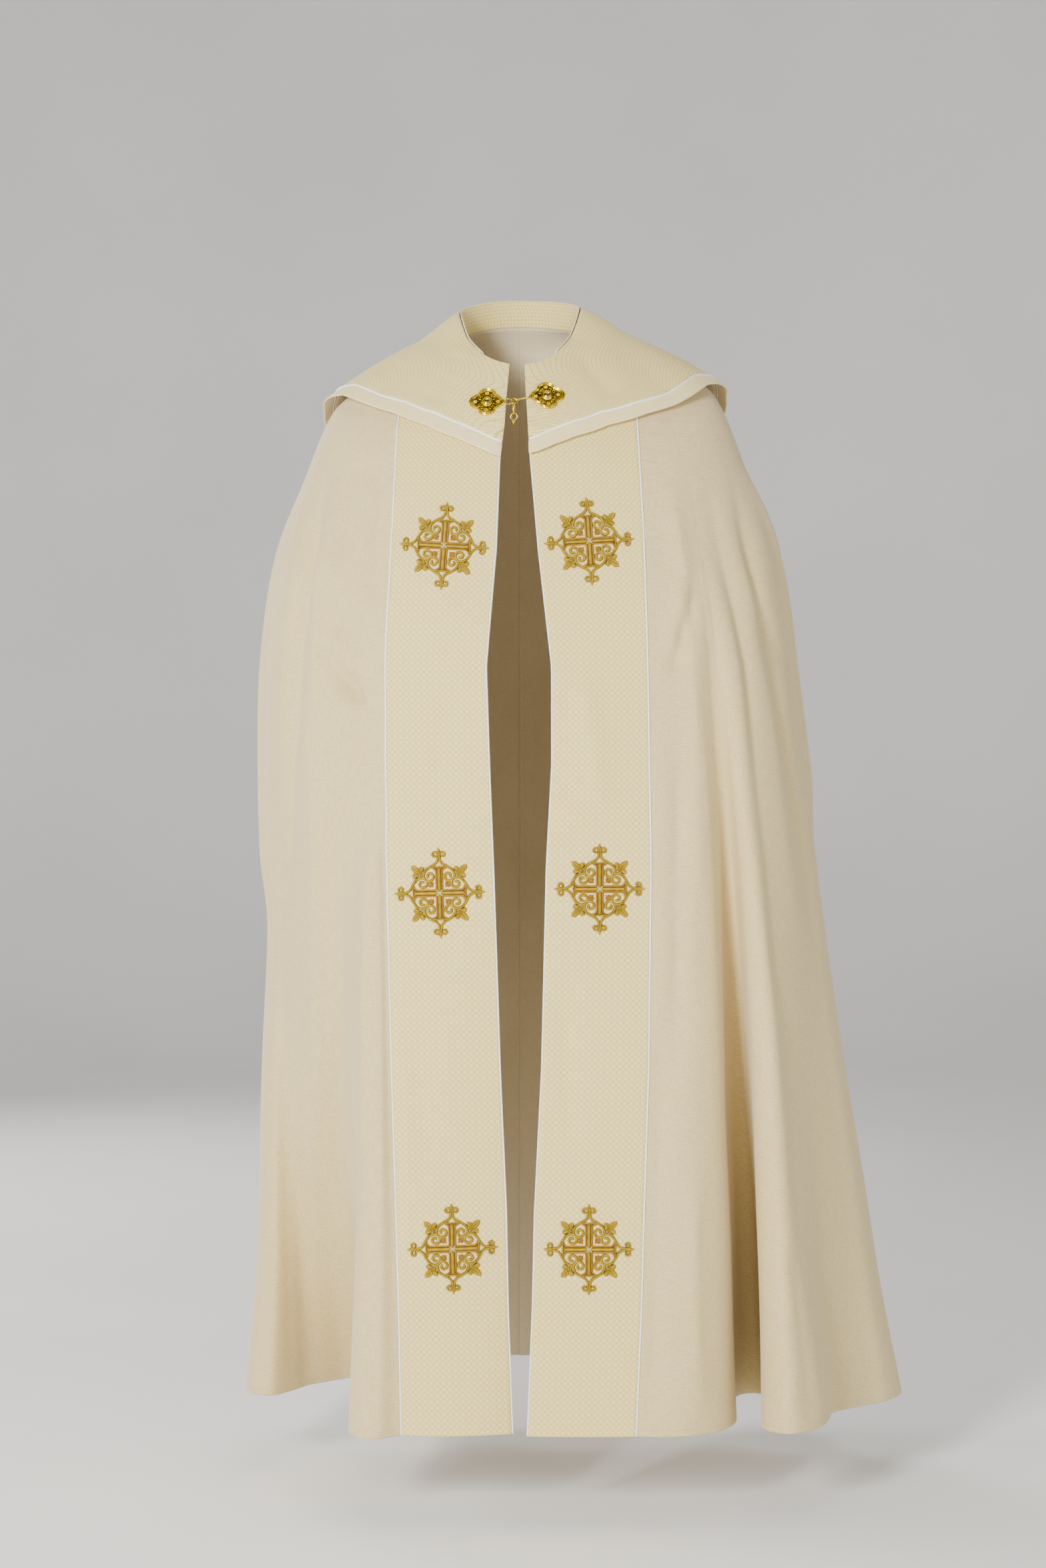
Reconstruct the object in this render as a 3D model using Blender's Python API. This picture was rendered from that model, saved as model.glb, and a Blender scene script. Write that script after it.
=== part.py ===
# Cope vestment, worn: a half-round cloak with orphreys, a shoulder cape and a clasp.
# Metres, +Z up, the front faces -Y and the wearer's left side is +X.
# The origin is the middle of the neck base, where the shoulders carry the cope.
from collections import namedtuple
from math import asin, cos, pi, radians, sin

import bmesh
import bpy
from mathutils import Matrix, Vector

# Cloth
WALL = 0.002
SEAM_GAP = 0.0003
CAPE_WALL = 0.002
HEM_Z = -1.435

# Cords sewn into the seams
SEAM_CORD_WIDTH = 0.004
SEAM_CORD_HEIGHT = 0.0025
EDGE_CORD_WIDTH = 0.0025
CAPE_CORD_WIDTH = 0.004
CAPE_BAND_WIDTH = 0.019

# Embroidered medallions
CROSS_ARM = 0.034
CROSS_HALF_SHAFT = 0.005
CROSS_HALF_FLARE = 0.0097
MEDALLION_LIFT = 0.0006
MEDALLION_HEIGHT = 0.0026

# Clasp
CHAIN_WIRE = 0.0007
DISC_HEIGHT = 0.0024
DISC_GAP = 0.0006
BOSS_RADIUS = 0.0065
BOSS_HEIGHT = 0.0042

# Level lines round the cloak before its folds, from the neck to the hem:
# heights at the front, sides and back, half widths, depths, and how square the line is.
Ring = namedtuple(
    "Ring",
    "front_z left_z right_z back_z left_x right_x front_y side_y back_y squareness",
)
RINGS = (
    Ring(-0.055, 0.000, 0.006, 0.022, 0.077, 0.079, -0.108, 0.000, 0.078, 2.00),
    Ring(-0.100, -0.012, -0.001, -0.005, 0.128, 0.134, -0.135, 0.003, 0.108, 2.05),
    Ring(-0.155, -0.044, -0.028, -0.045, 0.183, 0.190, -0.160, 0.006, 0.130, 2.20),
    Ring(-0.205, -0.082, -0.060, -0.095, 0.231, 0.241, -0.180, 0.010, 0.148, 2.35),
    Ring(-0.245, -0.115, -0.090, -0.145, 0.258, 0.270, -0.195, 0.014, 0.160, 2.40),
    Ring(-0.310, -0.190, -0.170, -0.225, 0.288, 0.303, -0.215, 0.018, 0.172, 2.45),
    Ring(-0.400, -0.300, -0.285, -0.330, 0.324, 0.343, -0.237, 0.020, 0.185, 2.50),
    Ring(-0.510, -0.445, -0.440, -0.460, 0.345, 0.368, -0.250, 0.022, 0.200, 2.50),
    Ring(-0.640, -0.605, -0.605, -0.610, 0.347, 0.389, -0.254, 0.024, 0.222, 2.50),
    Ring(-0.800, -0.785, -0.785, -0.785, 0.344, 0.412, -0.253, 0.028, 0.250, 2.50),
    Ring(-0.960, -0.955, -0.955, -0.955, 0.350, 0.437, -0.251, 0.032, 0.282, 2.50),
    Ring(-1.120, -1.118, -1.118, -1.118, 0.355, 0.464, -0.250, 0.036, 0.312, 2.50),
    Ring(-1.280, -1.279, -1.279, -1.279, 0.362, 0.492, -0.250, 0.040, 0.340, 2.50),
    Ring(HEM_Z, HEM_Z, HEM_Z, HEM_Z, 0.375, 0.522, -0.250, 0.045, 0.365, 2.50),
)

# Rings at which the cloth has a row of points
ROWS = (0, 0.7, 1.4, 2.1, 2.8, 3.4, 4, 5, 6, 7, 8, 9, 10, 11, 12, 13)
ORPHREY_COLUMNS = 4

# Distance from the middle of the front to each front edge and each orphrey's outer seam
FrontLine = namedtuple("FrontLine", "z left_edge left_seam right_edge right_seam")
FRONT_LINES = (
    FrontLine(-0.055, 0.0128, 0.0620, 0.0076, 0.0620),
    FrontLine(-0.100, 0.0168, 0.1080, 0.0094, 0.1080),
    FrontLine(-0.140, 0.0193, 0.1480, 0.0119, 0.1450),
    FrontLine(-0.180, 0.0240, 0.1592, 0.0134, 0.1545),
    FrontLine(-0.304, 0.0284, 0.1644, 0.0238, 0.1603),
    FrontLine(-0.456, 0.0408, 0.1713, 0.0406, 0.1643),
    FrontLine(-0.583, 0.0365, 0.1704, 0.0406, 0.1660),
    FrontLine(-0.710, 0.0314, 0.1687, 0.0338, 0.1677),
    FrontLine(-0.966, 0.0230, 0.1628, 0.0279, 0.1652),
    FrontLine(-1.153, 0.0153, 0.1569, 0.0186, 0.1592),
    FrontLine(-1.270, 0.0128, 0.1535, 0.0160, 0.1558),
    FrontLine(HEM_Z, 0.0069, 0.1501, 0.0095, 0.1491),
)
EDGE_SET_BACK = {"left": 0.025, "right": 0.008}

# Folds on each side, in order from the orphrey seam round to the middle of the back:
# place on the unfolded ring (0 seam, 1 middle of the back), where the fold reaches the
# hem, the height where it starts, and how late it opens.
Fold = namedtuple("Fold", "place hem_x hem_y start power")
LEFT_FOLDS = (
    Fold(0.015, -0.179, -0.258, -0.45, 1.4),
    Fold(0.030, -0.2035, -0.250, -0.45, 1.4),
    Fold(0.045, -0.219, -0.209, -0.45, 1.6),
    Fold(0.060, -0.214, -0.120, -0.50, 1.6),
    Fold(0.080, -0.198, -0.020, -0.50, 1.8),
    Fold(0.100, -0.188, 0.075, -0.50, 1.8),
    Fold(0.125, -0.205, 0.145, -0.50, 1.8),
    Fold(0.150, -0.238, 0.150, -0.50, 1.7),
    Fold(0.190, -0.268, 0.125, -0.45, 1.6),
    Fold(0.235, -0.291, 0.100, -0.40, 1.5),
    Fold(0.280, -0.310, 0.062, -0.35, 1.4),
    Fold(0.330, -0.3365, 0.025, -0.35, 1.3),
    Fold(0.380, -0.3655, 0.045, -0.35, 1.3),
    Fold(0.430, -0.376, 0.080, -0.35, 1.3),
    Fold(0.490, -0.374, 0.135, -0.40, 1.4),
    Fold(0.550, -0.356, 0.190, -0.40, 1.4),
    Fold(0.610, -0.352, 0.245, -0.40, 1.4),
    Fold(0.670, -0.345, 0.305, -0.40, 1.3),
    Fold(0.730, -0.300, 0.345, -0.40, 1.3),
    Fold(0.790, -0.240, 0.318, -0.45, 1.4),
    Fold(0.850, -0.180, 0.345, -0.45, 1.4),
    Fold(0.910, -0.120, 0.378, -0.45, 1.3),
    Fold(0.960, -0.055, 0.350, -0.45, 1.3),
)
RIGHT_FOLDS = (
    Fold(0.030, 0.187, -0.247, -0.40, 1.3),
    Fold(0.055, 0.2226, -0.238, -0.40, 1.4),
    Fold(0.075, 0.263, -0.201, -0.40, 1.6),
    Fold(0.088, 0.2836, -0.141, -0.42, 1.8),
    Fold(0.098, 0.284, -0.050, -0.34, 1.8),
    Fold(0.106, 0.300, 0.028, -0.32, 1.7),
    Fold(0.114, 0.330, 0.030, -0.32, 1.7),
    Fold(0.120, 0.329, -0.080, -0.30, 1.6),
    Fold(0.126, 0.3137, -0.180, -0.30, 1.3),
    Fold(0.137, 0.332, -0.221, -0.30, 1.2),
    Fold(0.155, 0.3575, -0.2225, -0.28, 1.2),
    Fold(0.173, 0.392, -0.180, -0.25, 1.2),
    Fold(0.205, 0.407, -0.128, -0.25, 1.2),
    Fold(0.250, 0.418, -0.085, -0.25, 1.3),
    Fold(0.310, 0.466, -0.036, -0.30, 1.3),
    Fold(0.360, 0.500, -0.003, -0.30, 1.3),
    Fold(0.415, 0.523, 0.057, -0.35, 1.3),
    Fold(0.470, 0.506, 0.125, -0.35, 1.3),
    Fold(0.530, 0.462, 0.172, -0.40, 1.4),
    Fold(0.590, 0.452, 0.235, -0.40, 1.4),
    Fold(0.650, 0.425, 0.305, -0.40, 1.3),
    Fold(0.710, 0.360, 0.330, -0.40, 1.3),
    Fold(0.770, 0.295, 0.308, -0.45, 1.4),
    Fold(0.830, 0.225, 0.342, -0.45, 1.4),
    Fold(0.890, 0.150, 0.376, -0.45, 1.3),
    Fold(0.945, 0.070, 0.352, -0.45, 1.3),
)
BACK_SEAM = Fold(1.0, 0.0, 0.333, -0.45, 1.3)

# Lower edge of the shoulder cape, by the angle from the front:
# the ring it lies on, how far it stands off the cloak, and how high the neck fold rises.
CapeEdge = namedtuple("CapeEdge", "angle left_ring right_ring left_off right_off neck_rise")
CAPE_EDGES = (
    CapeEdge(0, 2.56, 2.47, 0.008, 0.008, 0.000),
    CapeEdge(8, 2.38, 2.28, 0.008, 0.008, 0.000),
    CapeEdge(16, 2.28, 2.20, 0.008, 0.008, 0.000),
    CapeEdge(30, 2.27, 2.26, 0.008, 0.008, 0.000),
    CapeEdge(45, 2.43, 2.54, 0.009, 0.009, 0.002),
    CapeEdge(57, 2.66, 2.86, 0.010, 0.010, 0.004),
    CapeEdge(75, 3.01, 3.21, 0.015, 0.015, 0.020),
    CapeEdge(88, 3.65, 3.85, 0.020, 0.020, 0.028),
    CapeEdge(102, 4.05, 4.15, 0.016, 0.016, 0.031),
    CapeEdge(120, 4.35, 4.35, 0.011, 0.011, 0.033),
    CapeEdge(150, 5.10, 5.10, 0.008, 0.008, 0.034),
    CapeEdge(180, 5.60, 5.60, 0.008, 0.008, 0.034),
)
CAPE_LIFT = 0.0032
CAPE_COLUMNS = 20
CAPE_ROWS = 8
CAPE_FOLD_END = 0.34
STAND_START = 68
STAND_COLUMNS = 9

# One eighth of a medallion's frame: angle from a tip, inner and outer radius
FrameRow = namedtuple("FrameRow", "angle inner outer")
FRAME_EIGHTH = (
    FrameRow(0, 0.0440, 0.0575),
    FrameRow(6, 0.0440, 0.0500),
    FrameRow(11, 0.0420, 0.0530),
    FrameRow(17, 0.0380, 0.0420),
    FrameRow(30, 0.0335, 0.0390),
    FrameRow(38, 0.0290, 0.0430),
    FrameRow(45, 0.0265, 0.0490),
)
Medallion = namedtuple("Medallion", "name side x z lean")
MEDALLIONS = (
    Medallion("medallion_right_top", "left", -0.0963, -0.2994, 3.6),
    Medallion("medallion_right_middle", "left", -0.1009, -0.7436, -1.7),
    Medallion("medallion_right_bottom", "left", -0.0848, -1.1969, -1.5),
    Medallion("medallion_left_top", "right", 0.0900, -0.2933, -3.6),
    Medallion("medallion_left_middle", "right", 0.1024, -0.7385, 0.0),
    Medallion("medallion_left_bottom", "right", 0.0889, -1.1969, 0.0),
)

# One half of a clasp disc's outline: angle from its point, radius
DiscRow = namedtuple("DiscRow", "angle radius")
DISC_HALF = (
    DiscRow(0, 0.0245),
    DiscRow(14, 0.0208),
    DiscRow(30, 0.0188),
    DiscRow(46, 0.0172),
    DiscRow(60, 0.0196),
    DiscRow(90, 0.0218),
    DiscRow(120, 0.0196),
    DiscRow(134, 0.0172),
    DiscRow(150, 0.0198),
    DiscRow(180, 0.0236),
)
Disc = namedtuple("Disc", "name side x z turn")
DISCS = (
    Disc("clasp_right_disc", "left", -0.0423, -0.1071, -3),
    Disc("clasp_left_disc", "right", 0.0360, -0.0985, 188),
)

# Links of the clasp's chain: centre, half length, half width, lean about X, turn about Z
Link = namedtuple("Link", "name x y z length width lean turn")
CHAIN_Y = -0.1480
TAIL_X = -0.0068
TAIL_Y = -0.15005
CHAIN = (
    Link("chain_link_1", -0.0138, CHAIN_Y, -0.1067, 0.0045, 0.0045, 45, 0),
    Link("chain_link_2", TAIL_X, CHAIN_Y, -0.1062, 0.0041, 0.0041, -30, 0),
    Link("chain_link_3", TAIL_X, TAIL_Y, -0.11595, 0.00785, 0.0026, 0, 70),
    Link("chain_link_4", TAIL_X, TAIL_Y, -0.1266, 0.0045, 0.0045, 0, -20),
    Link("chain_link_5", TAIL_X, TAIL_Y, -0.1334, 0.0040, 0.0021, 0, 60),
)
LINK_POINTS = 16

# The hook's wire, from the left disc's point through the second link
HOOK_RADIUS = 0.0010
HookPoint = namedtuple("HookPoint", "x y z")
HOOK = (
    HookPoint(0.0120, -0.1438, -0.1004),
    HookPoint(0.0040, -0.1480, -0.1030),
    HookPoint(-0.0010, -0.1494, -0.1042),
    HookPoint(-0.0042, -0.1492, -0.1048),
    HookPoint(-0.0054, -0.1474, -0.1052),
    HookPoint(-0.0036, -0.1450, -0.1053),
    HookPoint(-0.0005, -0.1440, -0.1047),
)


def mix(a, b, share):
    return a + (b - a) * share


def smooth_step(low, high, value):
    share = min(max((value - low) / (high - low), 0.0), 1.0)
    return share * share * (3 - 2 * share)


def curve_through(before, start, end, after, share):
    """A Catmull-Rom curve's value between start and end."""
    square = share * share
    cube = square * share
    return 0.5 * (
        2 * start
        + (end - before) * share
        + (2 * before - 5 * start + 4 * end - after) * square
        + (3 * start - before - 3 * end + after) * cube
    )


def ring_at(place):
    """The level line at a place between two rings."""
    last = len(RINGS) - 1
    lower = min(int(place), last - 1)
    share = place - lower
    four = [RINGS[min(max(lower + step, 0), last)] for step in (-1, 0, 1, 2)]
    return Ring(*(curve_through(*values, share) for values in zip(*four)))


def table_value(table, key, name, value):
    """A named column of a table, read between its rows."""
    rising = getattr(table[-1], key) > getattr(table[0], key)
    ordered = table if rising else table[::-1]
    if value <= getattr(ordered[0], key):
        return getattr(ordered[0], name)
    for low, high in zip(ordered, ordered[1:]):
        start = getattr(low, key)
        end = getattr(high, key)
        if value <= end:
            return mix(getattr(low, name), getattr(high, name), (value - start) / (end - start))
    return getattr(ordered[-1], name)


def ring_point(ring, side, angle):
    """A point on a level line, at an angle in radians from the front."""
    half = ring.left_x if side == "left" else ring.right_x
    side_z = ring.left_z if side == "left" else ring.right_z
    across = abs(sin(angle)) ** (2 / ring.squareness)
    along = cos(angle)
    deep = abs(along) ** (2 / ring.squareness)
    high = abs(along) ** 1.5
    end_y = ring.front_y if along > 0 else ring.back_y
    end_z = ring.front_z if along > 0 else ring.back_z
    sign = -1 if side == "left" else 1
    return Vector(
        (sign * half * across, mix(ring.side_y, end_y, deep), mix(side_z, end_z, high))
    )


def angle_of(ring, side, distance):
    """The angle on a level line at a distance from the middle of the front."""
    half = ring.left_x if side == "left" else ring.right_x
    return asin(min(distance / half, 1.0) ** (ring.squareness / 2))


def front_distances(ring, side):
    edge = table_value(FRONT_LINES, "z", side + "_edge", ring.front_z)
    seam = table_value(FRONT_LINES, "z", side + "_seam", ring.front_z)
    return edge, seam


def orphrey_point(place, side, share):
    """A point of an orphrey: share 0 is the front edge and 1 the outer seam."""
    ring = ring_at(place)
    edge, seam = front_distances(ring, side)
    point = ring_point(ring, side, angle_of(ring, side, mix(edge, seam, share)))
    fall = smooth_step(-0.3, HEM_Z, ring.front_z)
    point.y += EDGE_SET_BACK[side] * fall * (1 - share) ** 2
    return point


def fold_goal(fold, ring, side):
    """Where a fold heads on one ring: its place at the hem, drawn in to the ring's size."""
    hem = RINGS[-1]
    hem_half = hem.left_x if side == "left" else hem.right_x
    half = ring.left_x if side == "left" else ring.right_x
    outside = smooth_step(0.62, 0.92, abs(fold.hem_x) / hem_half)
    x = fold.hem_x * mix(1.0, half / hem_half, outside)
    from_side = fold.hem_y - hem.side_y
    end = "back_y" if from_side > 0 else "front_y"
    depth = (getattr(ring, end) - ring.side_y) / (getattr(hem, end) - hem.side_y)
    return x, ring.side_y + from_side * depth


def fold_points(place, side):
    """The points of the folds on one row, from the seam to the middle of the back."""
    ring = ring_at(place)
    seam_angle = angle_of(ring, side, front_distances(ring, side)[1])
    steps = 90
    angles = [mix(seam_angle, pi, step / steps) for step in range(steps + 1)]
    line = [ring_point(ring, side, angle) for angle in angles]
    travelled = [0.0]
    for start, end in zip(line, line[1:]):
        travelled.append(travelled[-1] + (end - start).length)
    folds = (LEFT_FOLDS if side == "left" else RIGHT_FOLDS) + (BACK_SEAM,)
    points = []
    for fold in folds:
        wanted = fold.place * travelled[-1]
        step = next(i for i in range(1, steps + 1) if travelled[i] >= wanted - 1e-9)
        share = (wanted - travelled[step - 1]) / (travelled[step] - travelled[step - 1])
        plain = line[step - 1].lerp(line[step], share)
        fallen = min(max((fold.start - plain.z) / (fold.start - HEM_Z), 0.0), 1.0)
        open_share = fallen**fold.power
        goal_x, goal_y = fold_goal(fold, ring, side)
        x = mix(plain.x, goal_x, open_share)
        y = mix(plain.y, goal_y, open_share)
        points.append(Vector((x, y, plain.z)))
    return points


def side_row(place, side):
    """One row of a side: orphrey points, then each fold and the point midway to the next."""
    front = [
        orphrey_point(place, side, column / ORPHREY_COLUMNS)
        for column in range(ORPHREY_COLUMNS + 1)
    ]
    folds = fold_points(place, side)
    other = fold_points(place, "right" if side == "left" else "left")
    line = [front[-2], front[-1], *folds, other[-2]]
    row = list(front)
    for index in range(1, len(line) - 2):
        middle = curve_through(*line[index - 1 : index + 3], 0.5)
        row.extend((middle, line[index + 1]))
    return row


def cloak_grid():
    """All rows, each from the left front edge round the back to the right front edge."""
    rows = []
    for place in ROWS:
        left = side_row(place, "left")
        right = side_row(place, "right")
        rows.append(left[:-1] + right[::-1])
    return rows


def outward_normals(grid):
    """The direction away from the wearer at each point of a grid."""
    normals = []
    last_row = len(grid) - 1
    last_column = len(grid[0]) - 1
    for row in range(last_row + 1):
        line = []
        for column in range(last_column + 1):
            right = grid[row][min(column + 1, last_column)]
            left = grid[row][max(column - 1, 0)]
            above = grid[max(row - 1, 0)][column]
            below = grid[min(row + 1, last_row)][column]
            line.append((right - left).cross(below - above).normalized())
        normals.append(line)
    return normals


def link_object(name, mesh, finish, smooth=True):
    item = bpy.data.objects.new(name, mesh)
    COPE.objects.link(item)
    mesh.materials.append(finish)
    if smooth:
        mesh.shade_smooth()
    return item


def loft(name, outer, inner, finish):
    """A closed wall between two grids of points with the same rows and columns."""
    shape = bmesh.new()
    skins = []
    for grid in (outer, inner):
        skins.append([[shape.verts.new(point) for point in row] for row in grid])
    rows = len(outer) - 1
    columns = len(outer[0]) - 1
    for skin in skins:
        for row in range(rows):
            for column in range(columns):
                here = skin[row][column]
                across = skin[row][column + 1]
                below = skin[row + 1][column]
                corner = skin[row + 1][column + 1]
                shape.faces.new((here, below, corner))
                shape.faces.new((here, corner, across))
    front, back = skins
    rim = [(0, column) for column in range(columns)]
    rim += [(row, columns) for row in range(rows)]
    rim += [(rows, column) for column in range(columns, 0, -1)]
    rim += [(row, 0) for row in range(rows, 0, -1)]
    for here, there in zip(rim, rim[1:] + rim[:1]):
        shape.faces.new(
            (
                front[here[0]][here[1]],
                front[there[0]][there[1]],
                back[there[0]][there[1]],
                back[here[0]][here[1]],
            )
        )
    bmesh.ops.recalc_face_normals(shape, faces=shape.faces)
    bmesh.ops.triangulate(shape, faces=shape.faces)
    mesh = bpy.data.meshes.new(name)
    shape.to_mesh(mesh)
    shape.free()
    return link_object(name, mesh, finish)


def moved(grid, normals, distance):
    """A grid moved along its normals."""
    return [
        [point + normal * distance for point, normal in zip(*lines)]
        for lines in zip(grid, normals)
    ]


def panel(name, grid, normals, columns, trim_start, trim_end, finish):
    """A cloth panel from some columns of the cloak, its end columns drawn in for a seam."""
    outer = []
    inner = []
    for row, normal_row in zip(grid, normals):
        points = [row[column] for column in columns]
        sides = [normal_row[column] for column in columns]
        points[0] = points[0] + (points[1] - points[0]).normalized() * trim_start
        points[-1] = points[-1] + (points[-2] - points[-1]).normalized() * trim_end
        outer.append(points)
        inner.append([point - side * WALL for point, side in zip(points, sides)])
    return loft(name, outer, inner, finish)


def along_row(row, column, distance):
    """The point at a distance from a column, along the row's own line."""
    step = 1 if distance > 0 else -1
    left = abs(distance)
    place = column
    while True:
        length = (row[place + step] - row[place]).length
        if left <= length:
            return row[place].lerp(row[place + step], left / length)
        left -= length
        place += step


def seam_cord(name, grid, normals, column, first_row, finish):
    """A half-round cord on a seam, from the cape's edge to the hem."""
    outer = []
    inner = []
    half = SEAM_CORD_WIDTH / 2
    for row, normal_row in list(zip(grid, normals))[first_row:]:
        normal = normal_row[column]
        left = along_row(row, column, -half) + normal * 0.0005
        right = along_row(row, column, half) + normal * 0.0005
        middle = row[column] + normal * SEAM_CORD_HEIGHT
        outer.append([left, left.lerp(middle, 0.5) + normal * 0.0006, middle])
        outer[-1] += [right.lerp(middle, 0.5) + normal * 0.0006, right]
        inner.append([left.lerp(right, share) for share in (0.05, 0.28, 0.5, 0.72, 0.95)])
        inner[-1] = [point - normal * 0.0001 for point in inner[-1]]
    return loft(name, outer, inner, finish)


def edge_cord(name, grid, normals, column, finish):
    """The cord that finishes a front edge, beside the orphrey's own edge."""
    step = 1 if column == 0 else -1
    outer = []
    inner = []
    for row, normal_row in zip(grid, normals):
        normal = normal_row[column]
        edge = row[column]
        beside = edge + (row[column + step] - edge).normalized() * EDGE_CORD_WIDTH
        outer.append([edge - normal * 0.0004, edge.lerp(beside, 0.5) + normal * 0.0005])
        outer[-1].append(beside - normal * 0.0001)
        inner.append([point - normal * 0.0018 for point in outer[-1]])
        inner[-1][1] = inner[-1][1] - normal * 0.0006
    return loft(name, outer, inner, finish)


def cape_point(turn, share):
    """A point of the cape's outer face.

    turn runs from -1 at the left front edge, by 0 at the middle of the back, to 1 at
    the right front edge; share runs from 0 at the neck to 1 at the lower edge.
    """
    side = "left" if turn < 0 else "right"
    from_front = 1 - abs(turn)
    degrees = 180 * from_front
    edge_ring = table_value(CAPE_EDGES, "angle", side + "_ring", degrees)
    place = share * edge_ring
    ring = ring_at(place)
    start = angle_of(ring, side, front_distances(ring, side)[0])
    return ring_point(ring, side, mix(start, pi, from_front)), degrees


def cape_surface(turn, share):
    """The cape's outer face: the cloak's shape moved out, with its fold at the neck."""
    step = 0.004
    here, degrees = cape_point(turn, share)
    before, after = max(turn - step, -1), min(turn + step, 1)
    above, below = max(share - step, 0), min(share + step, 1)
    across = cape_point(after, share)[0] - cape_point(before, share)[0]
    down = cape_point(turn, below)[0] - cape_point(turn, above)[0]
    normal = across.cross(down).normalized()
    side = "left" if turn < 0 else "right"
    stand_off = table_value(CAPE_EDGES, "angle", side + "_off", degrees)
    rise = table_value(CAPE_EDGES, "angle", "neck_rise", degrees)
    lift = mix(CAPE_LIFT, stand_off, share**1.3)
    fold = rise * (1 - smooth_step(0, CAPE_FOLD_END, share))
    outward = Vector((here.x, here.y, 0)).normalized()
    return here + normal * lift + Vector((0, 0, fold)) + outward * (0.15 * fold)


def cape_grids():
    """Points of the cape's damask, cord and band, measured up from the lower edge."""
    turns = [step / CAPE_COLUMNS - 1 for step in range(2 * CAPE_COLUMNS + 1)]
    cord_top = CAPE_BAND_WIDTH + SEAM_GAP + CAPE_CORD_WIDTH
    damask_end = cord_top + SEAM_GAP
    columns = []
    for turn in turns:
        fine = [cape_surface(turn, step / 60) for step in range(61)]
        lengths = [0.0]
        for lower, upper in zip(fine[::-1], fine[-2::-1]):
            lengths.append(lengths[-1] + (upper - lower).length)
        rising = fine[::-1]

        def at_distance(distance):
            for index in range(1, len(lengths)):
                if lengths[index] >= distance - 1e-9:
                    gap = lengths[index] - lengths[index - 1]
                    share = (distance - lengths[index - 1]) / gap
                    return rising[index - 1].lerp(rising[index], share)
            return rising[-1]

        whole = lengths[-1]
        damask = [
            at_distance(mix(whole, damask_end, (row / CAPE_ROWS) ** 1.25))
            for row in range(CAPE_ROWS + 1)
        ]
        cord = [at_distance(cord_top), at_distance(mix(cord_top, CAPE_BAND_WIDTH + SEAM_GAP, 0.5))]
        cord.append(at_distance(CAPE_BAND_WIDTH + SEAM_GAP))
        band = [at_distance(CAPE_BAND_WIDTH), at_distance(CAPE_BAND_WIDTH / 2), at_distance(0)]
        columns.append(damask + cord + band)
    grid = [list(row) for row in zip(*columns)]
    normals = outward_normals(grid)
    across_seams = outward_normals([grid[CAPE_ROWS - 1], grid[CAPE_ROWS + 2], grid[-1]])
    for row in range(CAPE_ROWS, len(grid)):
        normals[row] = across_seams[1]
    return grid, normals


def build_cape(damask, satin, plain):
    grid, normals = cape_grids()
    inner = moved(grid, normals, -CAPE_WALL)
    end = CAPE_ROWS + 1
    loft("cape", grid[:end], inner[:end], damask)
    cord = slice(end, end + 3)
    raised = [list(row) for row in grid[cord]]
    raised[1] = [
        point + normal * 0.0012 for point, normal in zip(raised[1], normals[end + 1])
    ]
    loft("cape_piping", raised, inner[cord], satin)
    loft("cape_band", grid[end + 3 :], inner[end + 3 :], plain)
    return grid, normals


def build_stand(damask):
    """The upright strip that carries the cape's fold behind the neck."""
    outer = []
    inner = []
    ring = ring_at(0)
    for row in range(3):
        outer_row = []
        inner_row = []
        for step in range(-STAND_COLUMNS, STAND_COLUMNS + 1):
            side = "left" if step < 0 else "right"
            degrees = mix(180, STAND_START, abs(step) / STAND_COLUMNS)
            point = ring_point(ring, side, radians(degrees))
            rise = table_value(CAPE_EDGES, "angle", "neck_rise", degrees)
            outward = Vector((point.x, point.y, 0)).normalized()
            foot = point - outward * 0.0004 + Vector((0, 0, 0.0004))
            outer_row.append(foot + Vector((0, 0, (rise - 0.002) * row / 2)))
            inner_row.append(outer_row[-1] - outward * 0.0018)
        outer.append(outer_row)
        inner.append(inner_row)
    return loft("collar_stand", outer, inner, damask)


def on_grid(grid, normals, first, last, x, z):
    """The point and normal of some columns of a grid, seen from the front at x and z."""
    place = first + (last - first) / 2
    height = len(grid) / 2
    for _ in range(12):
        column = min(max(int(place), min(first, last)), max(first, last) - 1)
        share = place - column
        heights = [mix(row[column].z, row[column + 1].z, share) for row in grid]
        lower = next((i for i in range(1, len(heights)) if heights[i] <= z), len(heights) - 1)
        span = heights[lower] - heights[lower - 1]
        part = (z - heights[lower - 1]) / span
        height = lower - 1 + part
        across = [
            grid[lower - 1][i].lerp(grid[lower][i], part).x
            for i in range(min(first, last), max(first, last) + 1)
        ]
        index = next((i for i in range(1, len(across)) if across[i] >= x), len(across) - 1)
        width = across[index] - across[index - 1]
        place = min(first, last) + index - 1 + (x - across[index - 1]) / width
    row = min(int(height), len(grid) - 2)
    column = min(max(int(place), min(first, last)), max(first, last) - 1)
    down = height - row
    side = place - column
    here = grid[row][column]
    across = grid[row][column + 1]
    below = grid[row + 1][column]
    corner = grid[row + 1][column + 1]
    if down > side:
        point = here + (below - here) * down + (corner - below) * side
    else:
        point = here + (across - here) * side + (corner - across) * down
    normal = normals[row][column].lerp(normals[row][column + 1], side)
    normal = normal.lerp(normals[row + 1][column], down).normalized()
    return point, normal


def frame_outline():
    """A whole turn of the medallion's frame, as (angle, inner radius, outer radius)."""
    rows = []
    for quarter in range(4):
        start = 90 * quarter
        for row in FRAME_EIGHTH[:-1]:
            rows.append((start + row.angle, row.inner, row.outer))
        for row in FRAME_EIGHTH[:0:-1]:
            rows.append((start + 90 - row.angle, row.inner, row.outer))
    return rows


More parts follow.
